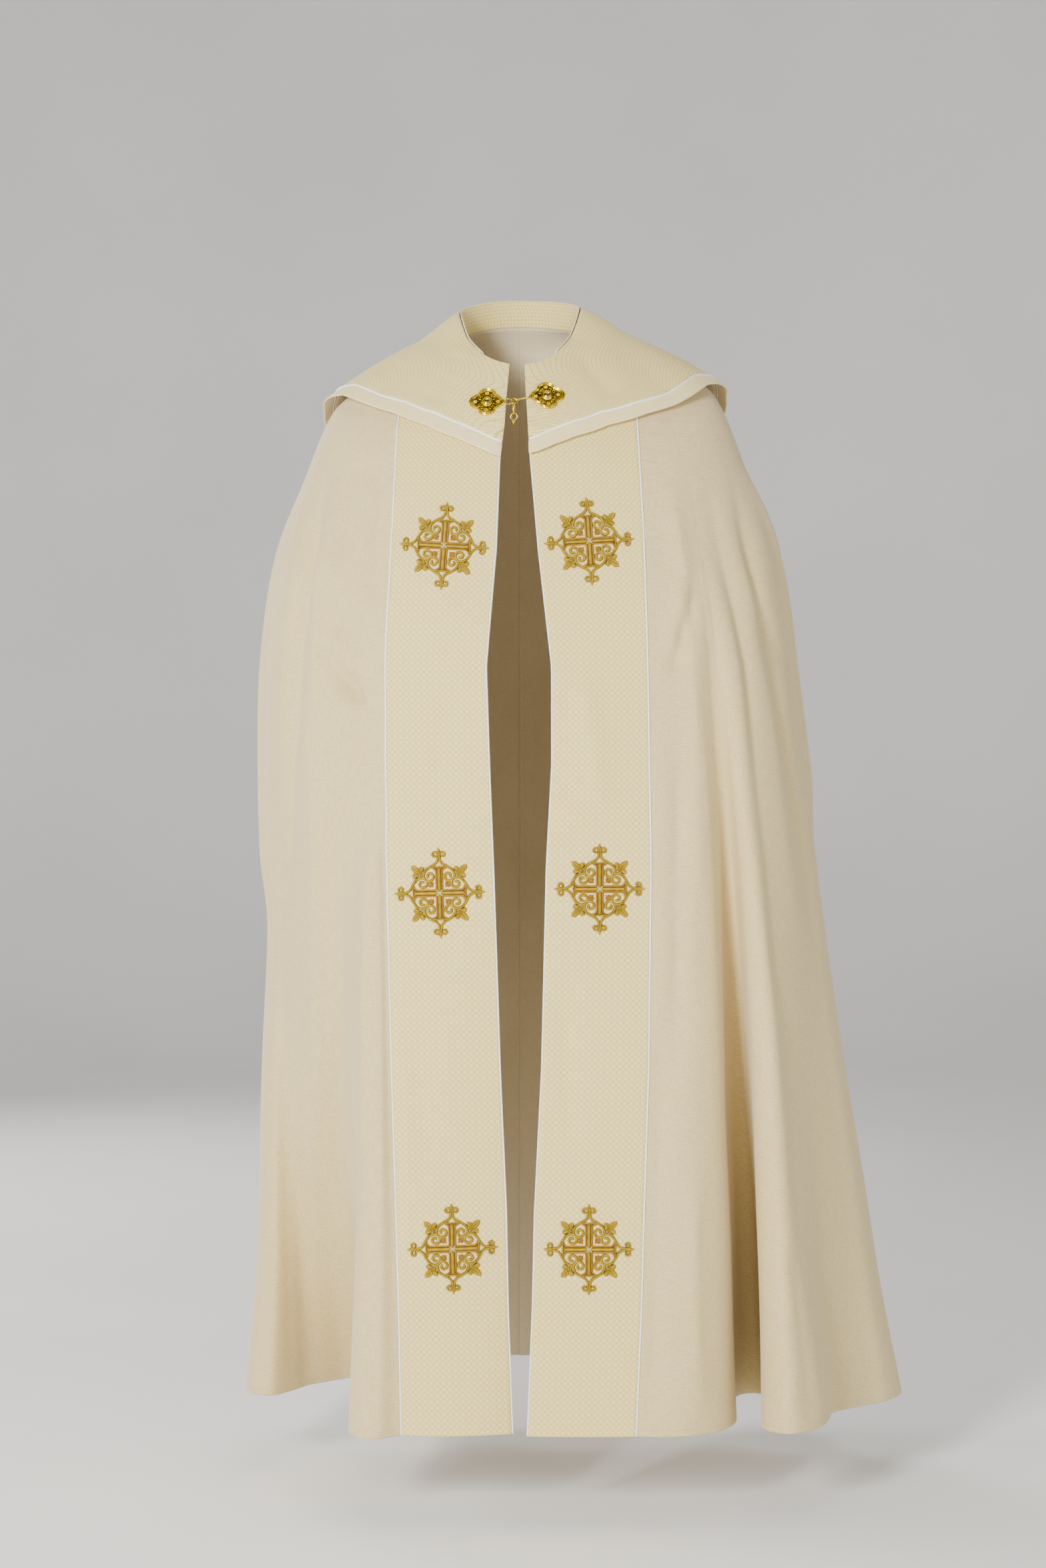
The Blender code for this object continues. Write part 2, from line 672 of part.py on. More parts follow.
def cross_outline():
    """A whole turn of the medallion's cross, as (across, up) points."""
    arm = (
        (CROSS_HALF_SHAFT, CROSS_HALF_SHAFT),
        (CROSS_HALF_SHAFT, CROSS_ARM - 0.0055),
        (CROSS_HALF_FLARE, CROSS_ARM - 0.0025),
        (CROSS_HALF_FLARE, CROSS_ARM),
        (-CROSS_HALF_FLARE, CROSS_ARM),
        (-CROSS_HALF_FLARE, CROSS_ARM - 0.0025),
        (-CROSS_HALF_SHAFT, CROSS_ARM - 0.0055),
    )
    points = []
    for quarter in range(4):
        turn = radians(90 * quarter)
        for across, up in arm:
            points.append((across * cos(turn) - up * sin(turn), across * sin(turn) + up * cos(turn)))
    return points


def build_medallion(item, grid, normals, columns, gold):
    """The embroidered frame and cross, on the orphrey's own points moved out."""
    lean = radians(-item.lean)

    def placed(across, up, lift):
        x = item.x + across * cos(lean) - up * sin(lean)
        z = item.z + across * sin(lean) + up * cos(lean)
        point, normal = on_grid(grid, normals, columns[0], columns[1], x, z)
        return point + normal * lift

    rows = []
    for lift, spread in ((MEDALLION_LIFT, 0.0), (MEDALLION_HEIGHT, 0.0006)):
        inner_line = []
        outer_line = []
        for angle, inner, outer in frame_outline():
            turn = radians(angle)
            for line, radius in ((inner_line, inner + spread), (outer_line, outer - spread)):
                line.append(placed(radius * sin(turn), radius * cos(turn), lift))
        rows += [inner_line, outer_line]
    bottom_inner, bottom_outer, top_inner, top_outer = rows
    ring_solid(item.name + "_frame", (bottom_inner, top_inner, top_outer, bottom_outer), gold)

    outline = cross_outline()
    shape = bmesh.new()
    levels = []
    for lift, scale in ((MEDALLION_LIFT, 1.0), (MEDALLION_HEIGHT - 0.0008, 1.0), (MEDALLION_HEIGHT, 0.96)):
        levels.append([shape.verts.new(placed(x * scale, y * scale, lift)) for x, y in outline])
    close_levels(shape, levels, item.name + "_cross", gold)


def ring_solid(name, lines, finish):
    """A closed ring whose section joins the given closed lines in turn."""
    shape = bmesh.new()
    loops = [[shape.verts.new(point) for point in line] for line in lines]
    count = len(lines[0])
    for here, there in zip(loops, loops[1:] + loops[:1]):
        for index in range(count):
            after = (index + 1) % count
            shape.faces.new((here[index], here[after], there[after], there[index]))
    bmesh.ops.recalc_face_normals(shape, faces=shape.faces)
    bmesh.ops.triangulate(shape, faces=shape.faces)
    mesh = bpy.data.meshes.new(name)
    shape.to_mesh(mesh)
    shape.free()
    return link_object(name, mesh, finish, smooth=False)


def close_levels(shape, levels, name, finish):
    """Sides between closed outlines, one above another, and a face at each end."""
    count = len(levels[0])
    for lower, upper in zip(levels, levels[1:]):
        for index in range(count):
            after = (index + 1) % count
            shape.faces.new((lower[index], lower[after], upper[after], upper[index]))
    shape.faces.new(levels[0][::-1])
    shape.faces.new(levels[-1])
    bmesh.ops.recalc_face_normals(shape, faces=shape.faces)
    bmesh.ops.triangulate(shape, faces=shape.faces)
    mesh = bpy.data.meshes.new(name)
    shape.to_mesh(mesh)
    shape.free()
    return link_object(name, mesh, finish, smooth=False)


def build_disc(item, grid, normals, metal):
    """A clasp disc, flat on the cape's slope, with its raised centre."""
    last_column = len(grid[0]) - 1
    first, last = (0, 4) if item.side == "left" else (last_column - 4, last_column)
    point, normal = on_grid(grid, normals, first, last, item.x, item.z)
    sideways = Vector((1, 0, 0))
    up = normal.cross(-sideways).normalized()
    up = up if up.z > 0 else -up
    across = up.cross(normal).normalized()
    across = across if across.x > 0 else -across
    outline = [(row.angle, row.radius) for row in DISC_HALF]
    outline += [(360 - row.angle, row.radius) for row in DISC_HALF[-2:0:-1]]
    highest = 0.0
    for angle, reach in outline:
        turn = radians(angle + item.turn)
        for share in (0.5, 1.0):
            spot = point + (across * cos(turn) + up * sin(turn)) * (reach * share)
            under, _ = on_grid(grid, normals, first, last, spot.x, spot.z)
            highest = max(highest, (under - point).dot(normal))
    shape = bmesh.new()
    base = point + normal * (highest + DISC_GAP)
    levels = []
    profile = (
        (0.0, 0.96, None),
        (DISC_HEIGHT * 0.6, 1.0, None),
        (DISC_HEIGHT, 0.95, None),
        (DISC_HEIGHT - 0.0006, 0.84, None),
        (DISC_HEIGHT, 0.0, BOSS_RADIUS),
        (BOSS_HEIGHT, 0.0, BOSS_RADIUS * 0.6),
    )
    for lift, scale, radius in profile:
        level = []
        for angle, reach in outline:
            turn = radians(angle + item.turn)
            distance = radius if radius else reach * scale
            offset = across * (distance * cos(turn)) + up * (distance * sin(turn))
            level.append(shape.verts.new(base + offset + normal * lift))
        levels.append(level)
    close_levels(shape, levels, item.name, metal)
    return base, across, up, normal


def wire(name, points, radius, closed, metal):
    """A round wire along some points."""
    path = bpy.data.curves.new(name, "CURVE")
    path.dimensions = "3D"
    path.bevel_depth = radius
    path.bevel_resolution = 1
    path.use_fill_caps = not closed
    line = path.splines.new("POLY")
    line.points.add(len(points) - 1)
    line.use_cyclic_u = closed
    for spot, point in zip(line.points, points):
        spot.co = (*point, 1)
    path.materials.append(metal)
    item = bpy.data.objects.new(name, path)
    COPE.objects.link(item)
    return item


def build_link(item, metal):
    """One link of the chain: an upright oval, leant about X and turned about Z."""
    stance = Matrix.Rotation(radians(item.turn), 3, "Z") @ Matrix.Rotation(radians(item.lean), 3, "X")
    points = []
    for step in range(LINK_POINTS):
        turn = 2 * pi * step / LINK_POINTS
        points.append(stance @ Vector((item.width * cos(turn), 0, item.length * sin(turn))))
    link = wire(item.name, points, CHAIN_WIRE, True, metal)
    link.location = (item.x, item.y, item.z)
    return link


def finish_of(name, colour, roughness, metallic=0.0):
    material = bpy.data.materials.new(name)
    material.use_nodes = True
    shader = material.node_tree.nodes["Principled BSDF"]
    shader.inputs["Base Color"].default_value = (*colour, 1.0)
    shader.inputs["Roughness"].default_value = roughness
    shader.inputs["Metallic"].default_value = metallic
    return material


for old in list(bpy.data.objects):
    bpy.data.objects.remove(old, do_unlink=True)

COPE = bpy.data.collections.new("cope_vestment")
bpy.context.scene.collection.children.link(COPE)

LINEN = finish_of("linen", (0.70, 0.62, 0.48), 0.85)
DAMASK = finish_of("damask", (0.78, 0.69, 0.50), 0.65)
BAND = finish_of("band", (0.77, 0.69, 0.54), 0.55)
SATIN = finish_of("satin", (0.90, 0.88, 0.82), 0.40)
THREAD = finish_of("gold_thread", (0.70, 0.50, 0.16), 0.45, 0.4)
GOLD = finish_of("gold", (0.90, 0.68, 0.25), 0.18, 1.0)

# The cloak and its orphreys
CLOAK = cloak_grid()
CLOAK_NORMALS = outward_normals(CLOAK)
LAST = len(CLOAK[0]) - 1
LEFT_SEAM = ORPHREY_COLUMNS
RIGHT_SEAM = LAST - ORPHREY_COLUMNS
BACK = 2 * (len(LEFT_FOLDS) + 1) + ORPHREY_COLUMNS
HALF_GAP = SEAM_GAP / 2
EDGE_TRIM = EDGE_CORD_WIDTH + SEAM_GAP

panel("mantle_right", CLOAK, CLOAK_NORMALS, range(LEFT_SEAM, BACK + 1), HALF_GAP, HALF_GAP, LINEN)
panel("mantle_left", CLOAK, CLOAK_NORMALS, range(BACK, RIGHT_SEAM + 1), HALF_GAP, HALF_GAP, LINEN)
panel("orphrey_right", CLOAK, CLOAK_NORMALS, range(LEFT_SEAM + 1), EDGE_TRIM, HALF_GAP, DAMASK)
panel("orphrey_left", CLOAK, CLOAK_NORMALS, range(RIGHT_SEAM, LAST + 1), HALF_GAP, EDGE_TRIM, DAMASK)

# The satin cords
seam_cord("piping_right_seam", CLOAK, CLOAK_NORMALS, LEFT_SEAM, 3, SATIN)
seam_cord("piping_left_seam", CLOAK, CLOAK_NORMALS, RIGHT_SEAM, 3, SATIN)
edge_cord("piping_right_edge", CLOAK, CLOAK_NORMALS, 0, SATIN)
edge_cord("piping_left_edge", CLOAK, CLOAK_NORMALS, LAST, SATIN)

# The shoulder cape and the stand behind the neck
CAPE, CAPE_NORMALS = build_cape(DAMASK, SATIN, BAND)
build_stand(DAMASK)

# The medallions
for medallion in MEDALLIONS:
    span = (0, LEFT_SEAM) if medallion.side == "left" else (RIGHT_SEAM, LAST)
    build_medallion(medallion, CLOAK, CLOAK_NORMALS, span, THREAD)

# The clasp
for disc in DISCS:
    build_disc(disc, CAPE[: CAPE_ROWS + 1], CAPE_NORMALS, GOLD)
for link in CHAIN:
    build_link(link, GOLD)
wire("clasp_hook", HOOK, HOOK_RADIUS, False, GOLD)
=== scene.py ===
from collections import namedtuple
from math import asin, cos, pi, radians, sin, sqrt

import bpy
import numpy as np
from mathutils import Matrix, Vector
from mathutils.bvhtree import BVHTree


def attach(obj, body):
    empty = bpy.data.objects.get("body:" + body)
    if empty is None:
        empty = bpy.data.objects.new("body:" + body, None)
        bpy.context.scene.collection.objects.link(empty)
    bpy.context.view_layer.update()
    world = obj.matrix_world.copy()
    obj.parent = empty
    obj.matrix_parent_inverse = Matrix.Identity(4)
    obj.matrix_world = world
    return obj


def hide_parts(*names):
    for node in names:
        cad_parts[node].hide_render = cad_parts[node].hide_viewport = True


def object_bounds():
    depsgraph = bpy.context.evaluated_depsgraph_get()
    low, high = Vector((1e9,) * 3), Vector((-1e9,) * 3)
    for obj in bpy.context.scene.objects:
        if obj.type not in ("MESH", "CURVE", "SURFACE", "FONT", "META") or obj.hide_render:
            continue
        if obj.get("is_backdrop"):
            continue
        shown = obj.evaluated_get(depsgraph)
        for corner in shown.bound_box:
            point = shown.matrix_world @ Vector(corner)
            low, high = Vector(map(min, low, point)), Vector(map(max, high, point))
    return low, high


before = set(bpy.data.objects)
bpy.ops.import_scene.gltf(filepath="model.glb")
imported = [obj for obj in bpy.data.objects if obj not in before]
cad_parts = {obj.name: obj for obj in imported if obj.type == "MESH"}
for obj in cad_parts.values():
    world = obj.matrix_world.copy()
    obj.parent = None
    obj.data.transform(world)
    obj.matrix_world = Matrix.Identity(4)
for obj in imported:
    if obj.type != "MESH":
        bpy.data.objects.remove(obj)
CAD_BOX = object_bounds()

# Sizes are in metres, and in millimetres in a table that goes through metres(). +Z is up and the
# front faces -Y. Left is -X and right is +X, as seen from the front, but pieces are named by the
# wearer's sides. The origin is at the pit of the neck.
HEM = -1435
HEM_Z = HEM / 1000
FLOOR_Z = -1.545
WALL = 0.0019
SEAM_GAP = 0.0003
CAPE_LIFT = 0.0032
CAPE_BAND_WIDTH = 0.019
CAPE_CORD_WIDTH = 0.004
CAPE_FOLD_END = 0.34
EDGE_CORD_WIDTH = 0.0025
SEAM_CORD_WIDTH = 0.00256
SEAM_CORD_HEIGHT = 0.0020
CREASE_STRENGTH = 3.0


def metres(*values):
    """Millimetres as metres."""
    return tuple(value / 1000 for value in values)


# Level lines round the cloak before its folds, from the neck to the hem
Ring = namedtuple(
    "Ring",
    "front_z left_z right_z back_z left_x right_x front_y side_y back_y squareness",
)
RINGS = tuple(Ring(*metres(*row[:-1]), row[-1]) for row in (
    (-55, 0, 6, 22, 77, 79, -108, 0, 78, 2),
    (-100, -12, -1, -5, 128, 134, -135, 3, 108, 2.05),
    (-155, -44, -28, -45, 183, 190, -160, 6, 130, 2.2),
    (-205, -82, -60, -95, 231, 241, -180, 10, 148, 2.35),
    (-245, -115, -90, -145, 258, 270, -195, 14, 160, 2.4),
    (-310, -190, -170, -225, 288, 303, -215, 18, 172, 2.45),
    (-400, -300, -285, -330, 324, 343, -237, 20, 185, 2.5),
    (-510, -445, -440, -460, 345, 368, -250, 22, 200, 2.5),
    (-640, -605, -605, -610, 347, 389, -254, 24, 222, 2.5),
    (-800, -785, -785, -785, 344, 412, -253, 28, 250, 2.5),
    (-960, -955, -955, -955, 350, 437, -251, 32, 282, 2.5),
    (-1120, -1118, -1118, -1118, 355, 464, -250, 36, 312, 2.5),
    (-1280, -1279, -1279, -1279, 362, 492, -250, 40, 340, 2.5),
    (HEM, HEM, HEM, HEM, 375, 522, -250, 45, 365, 2.5),
))
ROW_STEP = 0.0095

# Distance from the middle of the front to each front edge and each orphrey's outer seam
FrontLine = namedtuple("FrontLine", "z left_edge left_seam right_edge right_seam")
FRONT_LINES = tuple(FrontLine(*metres(*row)) for row in (
    (-55, 12.8, 62, 7.6, 62),
    (-100, 16.8, 108, 9.4, 108),
    (-140, 19.3, 148, 11.9, 145),
    (-180, 24, 159.2, 13.4, 154.5),
    (-304, 28.4, 164.4, 23.8, 160.3),
    (-456, 40.8, 171.3, 40.6, 164.3),
    (-583, 36.5, 170.4, 40.6, 166),
    (-710, 31.4, 168.7, 33.8, 167.7),
    (-966, 23, 162.8, 27.9, 165.2),
    (-1153, 15.3, 156.9, 18.6, 159.2),
    (-1270, 12.8, 153.5, 16, 155.8),
    (HEM, 6.9, 150.1, 9.5, 149.1),
))
EDGE_SET_BACK = {"left": 0.025, "right": 0.008}
ORPHREY_STEPS = 26

# Folds on each side: the place on a row from the orphrey's seam (0) to the middle of the back (1),
# where the fold lies at the hem, the height where it begins, and how late it opens
Fold = namedtuple("Fold", "place hem_x hem_y start power")
LEFT_FOLDS = tuple(Fold(row[0], *metres(*row[1:4]), row[4]) for row in (
    (0.015, -179, -258, -450, 1.4),
    (0.03, -203.5, -250, -450, 1.4),
    (0.045, -219, -209, -450, 1.6),
    (0.06, -214, -120, -500, 1.6),
    (0.08, -198, -20, -500, 1.8),
    (0.1, -188, 75, -500, 1.8),
    (0.125, -205, 145, -500, 1.8),
    (0.15, -238, 150, -500, 1.7),
    (0.19, -268, 125, -450, 1.6),
    (0.235, -291, 100, -400, 1.5),
    (0.28, -310, 62, -350, 1.4),
    (0.33, -336.5, 25, -350, 1.3),
    (0.38, -365.5, 45, -350, 1.3),
    (0.43, -376, 80, -350, 1.3),
    (0.49, -374, 135, -400, 1.4),
    (0.55, -356, 190, -400, 1.4),
    (0.61, -352, 245, -400, 1.4),
    (0.67, -345, 305, -400, 1.3),
    (0.73, -300, 345, -400, 1.3),
    (0.79, -240, 318, -450, 1.4),
    (0.85, -180, 345, -450, 1.4),
    (0.91, -120, 378, -450, 1.3),
    (0.96, -55, 350, -450, 1.3),
))
RIGHT_FOLDS = tuple(Fold(row[0], *metres(*row[1:4]), row[4]) for row in (
    (0.03, 187, -247, -400, 1.3),
    (0.055, 222.6, -238, -400, 1.4),
    (0.075, 263, -201, -400, 1.6),
    (0.088, 283.6, -141, -420, 1.8),
    (0.098, 284, -50, -340, 1.8),
    (0.106, 300, 28, -320, 1.7),
    (0.114, 330, 30, -320, 1.7),
    (0.12, 329, -80, -300, 1.6),
    (0.126, 313.7, -180, -300, 1.3),
    (0.137, 332, -221, -300, 1.2),
    (0.155, 357.5, -222.5, -280, 1.2),
    (0.173, 392, -180, -250, 1.2),
    (0.205, 407, -128, -250, 1.2),
    (0.25, 418, -85, -250, 1.3),
    (0.31, 466, -36, -300, 1.3),
    (0.36, 500, -3, -300, 1.3),
    (0.415, 523, 57, -350, 1.3),
    (0.47, 506, 125, -350, 1.3),
    (0.53, 462, 172, -400, 1.4),
    (0.59, 452, 235, -400, 1.4),
    (0.65, 425, 305, -400, 1.3),
    (0.71, 360, 330, -400, 1.3),
    (0.77, 295, 308, -450, 1.4),
    (0.83, 225, 342, -450, 1.4),
    (0.89, 150, 376, -450, 1.3),
    (0.945, 70, 352, -450, 1.3),
))
BACK_SEAM = Fold(1.0, 0.0, 0.333, -0.45, 1.3)
FOLD_STEPS = 7

# Soft creases and rolls, by the side that they are seen from: half width, how far they rise (or
# sink, below zero), and the points of the line that they follow, as (across, height)
CREASES = {
    "front": (
        (14, -7.5, (-240, -155), (-268, -259), (-283, -344), (-294, -434), (-298, -540), (-305, -583),
            (-310, -712), (-319, -841)),
        (11, -4.5, (-262, -414), (-245, -440), (-224, -470), (-200, -505)),
        (24, -3.6, (-232, -440), (-208, -500), (-199, -600), (-203, -720)),
        (18, 2.4, (-246, -190), (-256, -290), (-262, -400), (-264, -500)),
        (13, 3, (-242, -408), (-226, -438), (-205, -462)),
        (20, -2.2, (-180, -170), (-186, -270), (-190, -390)),
        (17, 2.2, (-187, -640), (-194, -780), (-204, -960)),
        (20, -2, (-226, -510), (-232, -740), (-240, -1000), (-247, -1300)),
        (17, 2.4, (-264, -497), (-266, -712), (-271, -969), (-282, -1227)),
        (12, -1.8, (-205, -165), (-222, -235), (-232, -330)),
        (15, -1.6, (-190, -1050), (-188, -1250), (-186, -1435)),
        (13, -4.2, (239, -174), (264, -297), (283, -371), (297, -454), (310, -583), (325, -712),
            (336, -841), (349, -935), (363, -1107), (383, -1278), (392, -1415)),
        (10, -5.2, (278, -188), (299, -278), (313, -344), (327, -406), (334, -454), (354, -583),
            (376, -712), (394, -841)),
        (13, -2.4, (232, -330), (219, -385), (206, -430), (197, -470)),
        (12, 1.6, (212, -345), (200, -395), (190, -445)),
        (18, 2.2, (190, -190), (214, -340), (226, -540), (230, -798)),
        (17, -2.2, (205, -520), (203, -760), (200, -1000)),
        (15, -2, (186, -883), (178, -1098), (173, -1312), (175, -1424)),
        (13, 1.8, (222, -1080), (224, -1260), (231, -1430)),
        (12, -1.6, (352, -1180), (366, -1320), (377, -1435)),
        (22, -1.8, (-85, -470), (-100, -560), (-110, -660)),
        (20, 1.6, (80, -455), (95, -560), (105, -650)),
        (18, -1.4, (-130, -880), (-120, -1050), (-112, -1100)),
        (18, -1.4, (60, -850), (62, -980), (70, -1080)),
    ),
    "left": (
        (18, -3.5, (-40, -180), (-20, -420), (0, -700), (20, -960)),
        (15, -2.8, (60, -230), (72, -520), (85, -850), (100, -1180)),
        (22, 3, (20, -150), (30, -400), (40, -620), (50, -800)),
        (12, 2.2, (110, -330), (118, -560), (128, -720)),
        (15, -1.2, (-120, -420), (-80, -470), (-35, -490)),
    ),
    "right": (
        (17, -3.4, (0, -150), (20, -400), (45, -720), (70, -1000)),
        (20, 3, (-35, -160), (-20, -400), (0, -700)),
        (14, -2.6, (85, -200), (100, -500), (120, -820)),
        (12, 2.2, (55, -220), (68, -380), (80, -520)),
        (15, -1.1, (-130, -380), (-90, -440), (-40, -455)),
    ),
    "back": (
        (20, -4.5, (-205, -200), (-190, -420), (-150, -760), (-105, -1080)),
        (24, 4, (-135, -190), (-122, -450), (-100, -740), (-90, -900)),
        (18, -3.5, (-60, -240), (-50, -480), (-40, -820), (-36, -1000)),
        (22, 3.8, (20, -180), (16, -500), (10, -820)),
        (17, -4, (90, -190), (82, -430), (70, -700), (62, -860)),
        (24, 3.6, (165, -200), (160, -470), (168, -800), (176, -1020)),
        (16, -3.4, (225, -230), (235, -470), (250, -720)),
        (14, -2, (-280, -350), (-250, -450), (-205, -520)),
        (13, -1.8, (290, -330), (262, -440), (215, -500)),
    ),
}

# The shoulder cape by the angle from the front: the ring place of its lower edge, how far the
# edge stands off the cloak, and the rise of its fold at the neck
CapeEdge = namedtuple("CapeEdge", "angle left_ring right_ring left_off right_off neck_rise")
CAPE_EDGES = (
    CapeEdge(0, 2.56, 2.47, 0.008, 0.008, 0.000),
    CapeEdge(8, 2.38, 2.28, 0.008, 0.008, 0.000),
    CapeEdge(16, 2.28, 2.20, 0.008, 0.008, 0.000),
    CapeEdge(30, 2.27, 2.26, 0.008, 0.008, 0.000),
    CapeEdge(45, 2.43, 2.54, 0.009, 0.009, 0.002),
    CapeEdge(57, 2.66, 2.86, 0.010, 0.010, 0.004),
    CapeEdge(75, 3.01, 3.21, 0.015, 0.015, 0.020),
    CapeEdge(88, 3.65, 3.85, 0.020, 0.020, 0.028),
    CapeEdge(102, 4.05, 4.15, 0.016, 0.016, 0.031),
    CapeEdge(120, 4.35, 4.35, 0.011, 0.011, 0.033),
    CapeEdge(150, 5.10, 5.10, 0.008, 0.008, 0.034),
    CapeEdge(180, 5.60, 5.60, 0.008, 0.008, 0.034),
)
CAPE_COLUMNS = 84
CAPE_MARKS = 60
DAMASK_ROWS = 36
CORD_ROWS = 2
BAND_ROWS = 8
STAND_START = 36
STAND_COLUMNS = 40
STAND_ROWS = 8

# Each medallion's middle and its lean in degrees
Medallion = namedtuple("Medallion", "name side x z lean")
MEDALLIONS = (
    Medallion("medallion_right_top", "left", -0.0963, -0.2994, 3.6),
    Medallion("medallion_right_middle", "left", -0.1009, -0.7436, -1.7),
    Medallion("medallion_right_bottom", "left", -0.0848, -1.1969, -1.5),
    Medallion("medallion_left_top", "right", 0.0900, -0.2933, -3.6),
    Medallion("medallion_left_middle", "right", 0.1024, -0.7385, 0.0),
    Medallion("medallion_left_bottom", "right", 0.0889, -1.1969, 0.0),
)

# A clasp disc's outline: angle from its point and radius
DISC_OUTLINE = (
    (0, 0.0245), (14, 0.0208), (30, 0.0188), (46, 0.0172), (60, 0.0196), (75, 0.0212),
    (90, 0.0218), (105, 0.0212), (120, 0.0196), (134, 0.0172), (150, 0.0198), (165, 0.0222),
    (180, 0.0236),
)
DISCS = (("clasp_right_disc", -3), ("clasp_left_disc", 188))

# Each link's middle, its half length and half width, and its lean and turn in degrees
Link = namedtuple("Link", "name x y z length width lean turn")
CHAIN_Y = -0.1480
TAIL_X = -0.0068
TAIL_Y = -0.15005
CHAIN = (
    Link("chain_link_1", -0.0138, CHAIN_Y, -0.1067, 0.0045, 0.0045, 45, 0),
    Link("chain_link_2", TAIL_X, CHAIN_Y, -0.1062, 0.0041, 0.0041, -30, 0),
    Link("chain_link_3", TAIL_X, TAIL_Y, -0.11595, 0.00785, 0.0026, 0, 70),
    Link("chain_link_4", TAIL_X, TAIL_Y, -0.1266, 0.0045, 0.0045, 0, -20),
    Link("chain_link_5", TAIL_X, TAIL_Y, -0.1334, 0.0040, 0.0021, 0, 60),
)
CHAIN_WIRE = 0.0007
LINK_STEPS = 48
CHAIN_BODY = {"chain_link_3": "chain_tail", "chain_link_4": "chain_end", "chain_link_5": "chain_end"}

# The line of the hook, from the disc on the right into the second link
HOOK_RADIUS = 0.0010
HOOK = (
    (0.0120, -0.1438, -0.1004), (0.0040, -0.1480, -0.1030), (-0.0010, -0.1494, -0.1042),
    (-0.0042, -0.1492, -0.1048), (-0.0054, -0.1474, -0.1052), (-0.0036, -0.1450, -0.1053),
    (-0.0005, -0.1440, -0.1047),
)


# Shared arithmetic
def mix(a, b, share):
    """The value a share of the way from a to b."""
    return a + (b - a) * share


def smooth_step(low, high, value):
    """A soft step from 0 at low to 1 at high."""
    share = min(max((value - low) / (high - low), 0.0), 1.0)
    return share * share * (3 - 2 * share)


def curve_through(before, start, end, after, share):
    """A Catmull-Rom curve's value between start and end."""
    square = share * share
    cube = square * share
    return 0.5 * (
        2 * start
        + (end - before) * share
        + (2 * before - 5 * start + 4 * end - after) * square
        + (3 * start - before - 3 * end + after) * cube
    )


def ring_at(place):
    """The level line at a place between two rings."""
    last = len(RINGS) - 1
    lower = min(int(place), last - 1)
    share = place - lower
    four = [RINGS[min(max(lower + step, 0), last)] for step in (-1, 0, 1, 2)]
    return Ring(*(curve_through(*values, share) for values in zip(*four)))


def table_value(table, key, name, value):
    """A named column of a table, read between its rows."""
    rising = getattr(table[-1], key) > getattr(table[0], key)
    ordered = table if rising else table[::-1]
    if value <= getattr(ordered[0], key):
        return getattr(ordered[0], name)
    for low, high in zip(ordered, ordered[1:]):
        start = getattr(low, key)
        end = getattr(high, key)
        if value <= end:
            return mix(getattr(low, name), getattr(high, name), (value - start) / (end - start))
    return getattr(ordered[-1], name)


def ring_point(ring, side, angle):
    """A point on a level line, at an angle in radians from the front."""
    half = ring.left_x if side == "left" else ring.right_x
    side_z = ring.left_z if side == "left" else ring.right_z
    across = abs(sin(angle)) ** (2 / ring.squareness)
    along = cos(angle)
    deep = abs(along) ** (2 / ring.squareness)
    high = abs(along) ** 1.5
    end_y = ring.front_y if along > 0 else ring.back_y
    end_z = ring.front_z if along > 0 else ring.back_z
    sign = -1 if side == "left" else 1
    return Vector(
        (sign * half * across, mix(ring.side_y, end_y, deep), mix(side_z, end_z, high))
    )


def angle_of(ring, side, distance):
    """The angle on a level line at a distance from the middle of the front."""
    half = ring.left_x if side == "left" else ring.right_x
    return asin(min(distance / half, 1.0) ** (ring.squareness / 2))


def front_distances(ring, side):
    """How far the front edge and the outer seam lie from the middle."""
    edge = table_value(FRONT_LINES, "z", side + "_edge", ring.front_z)
    seam = table_value(FRONT_LINES, "z", side + "_seam", ring.front_z)
    return edge, seam


def orphrey_point(place, side, share):
    """A point of an orphrey: share 0 is the front edge and 1 the outer seam."""
    ring = ring_at(place)
    edge, seam = front_distances(ring, side)
    point = ring_point(ring, side, angle_of(ring, side, mix(edge, seam, share)))
    fall = smooth_step(-0.3, HEM_Z, ring.front_z)
    point.y += EDGE_SET_BACK[side] * fall * (1 - share) ** 2
    return point


def fold_goal(fold, ring, side):
    """Where a fold heads on one ring: its place at the hem, drawn in to the ring's size."""
    hem = RINGS[-1]
    hem_half = hem.left_x if side == "left" else hem.right_x
    half = ring.left_x if side == "left" else ring.right_x
    outside = smooth_step(0.62, 0.92, abs(fold.hem_x) / hem_half)
    x = fold.hem_x * mix(1.0, half / hem_half, outside)
    from_side = fold.hem_y - hem.side_y
    end = "back_y" if from_side > 0 else "front_y"
    depth = (getattr(ring, end) - ring.side_y) / (getattr(hem, end) - hem.side_y)
    return x, ring.side_y + from_side * depth


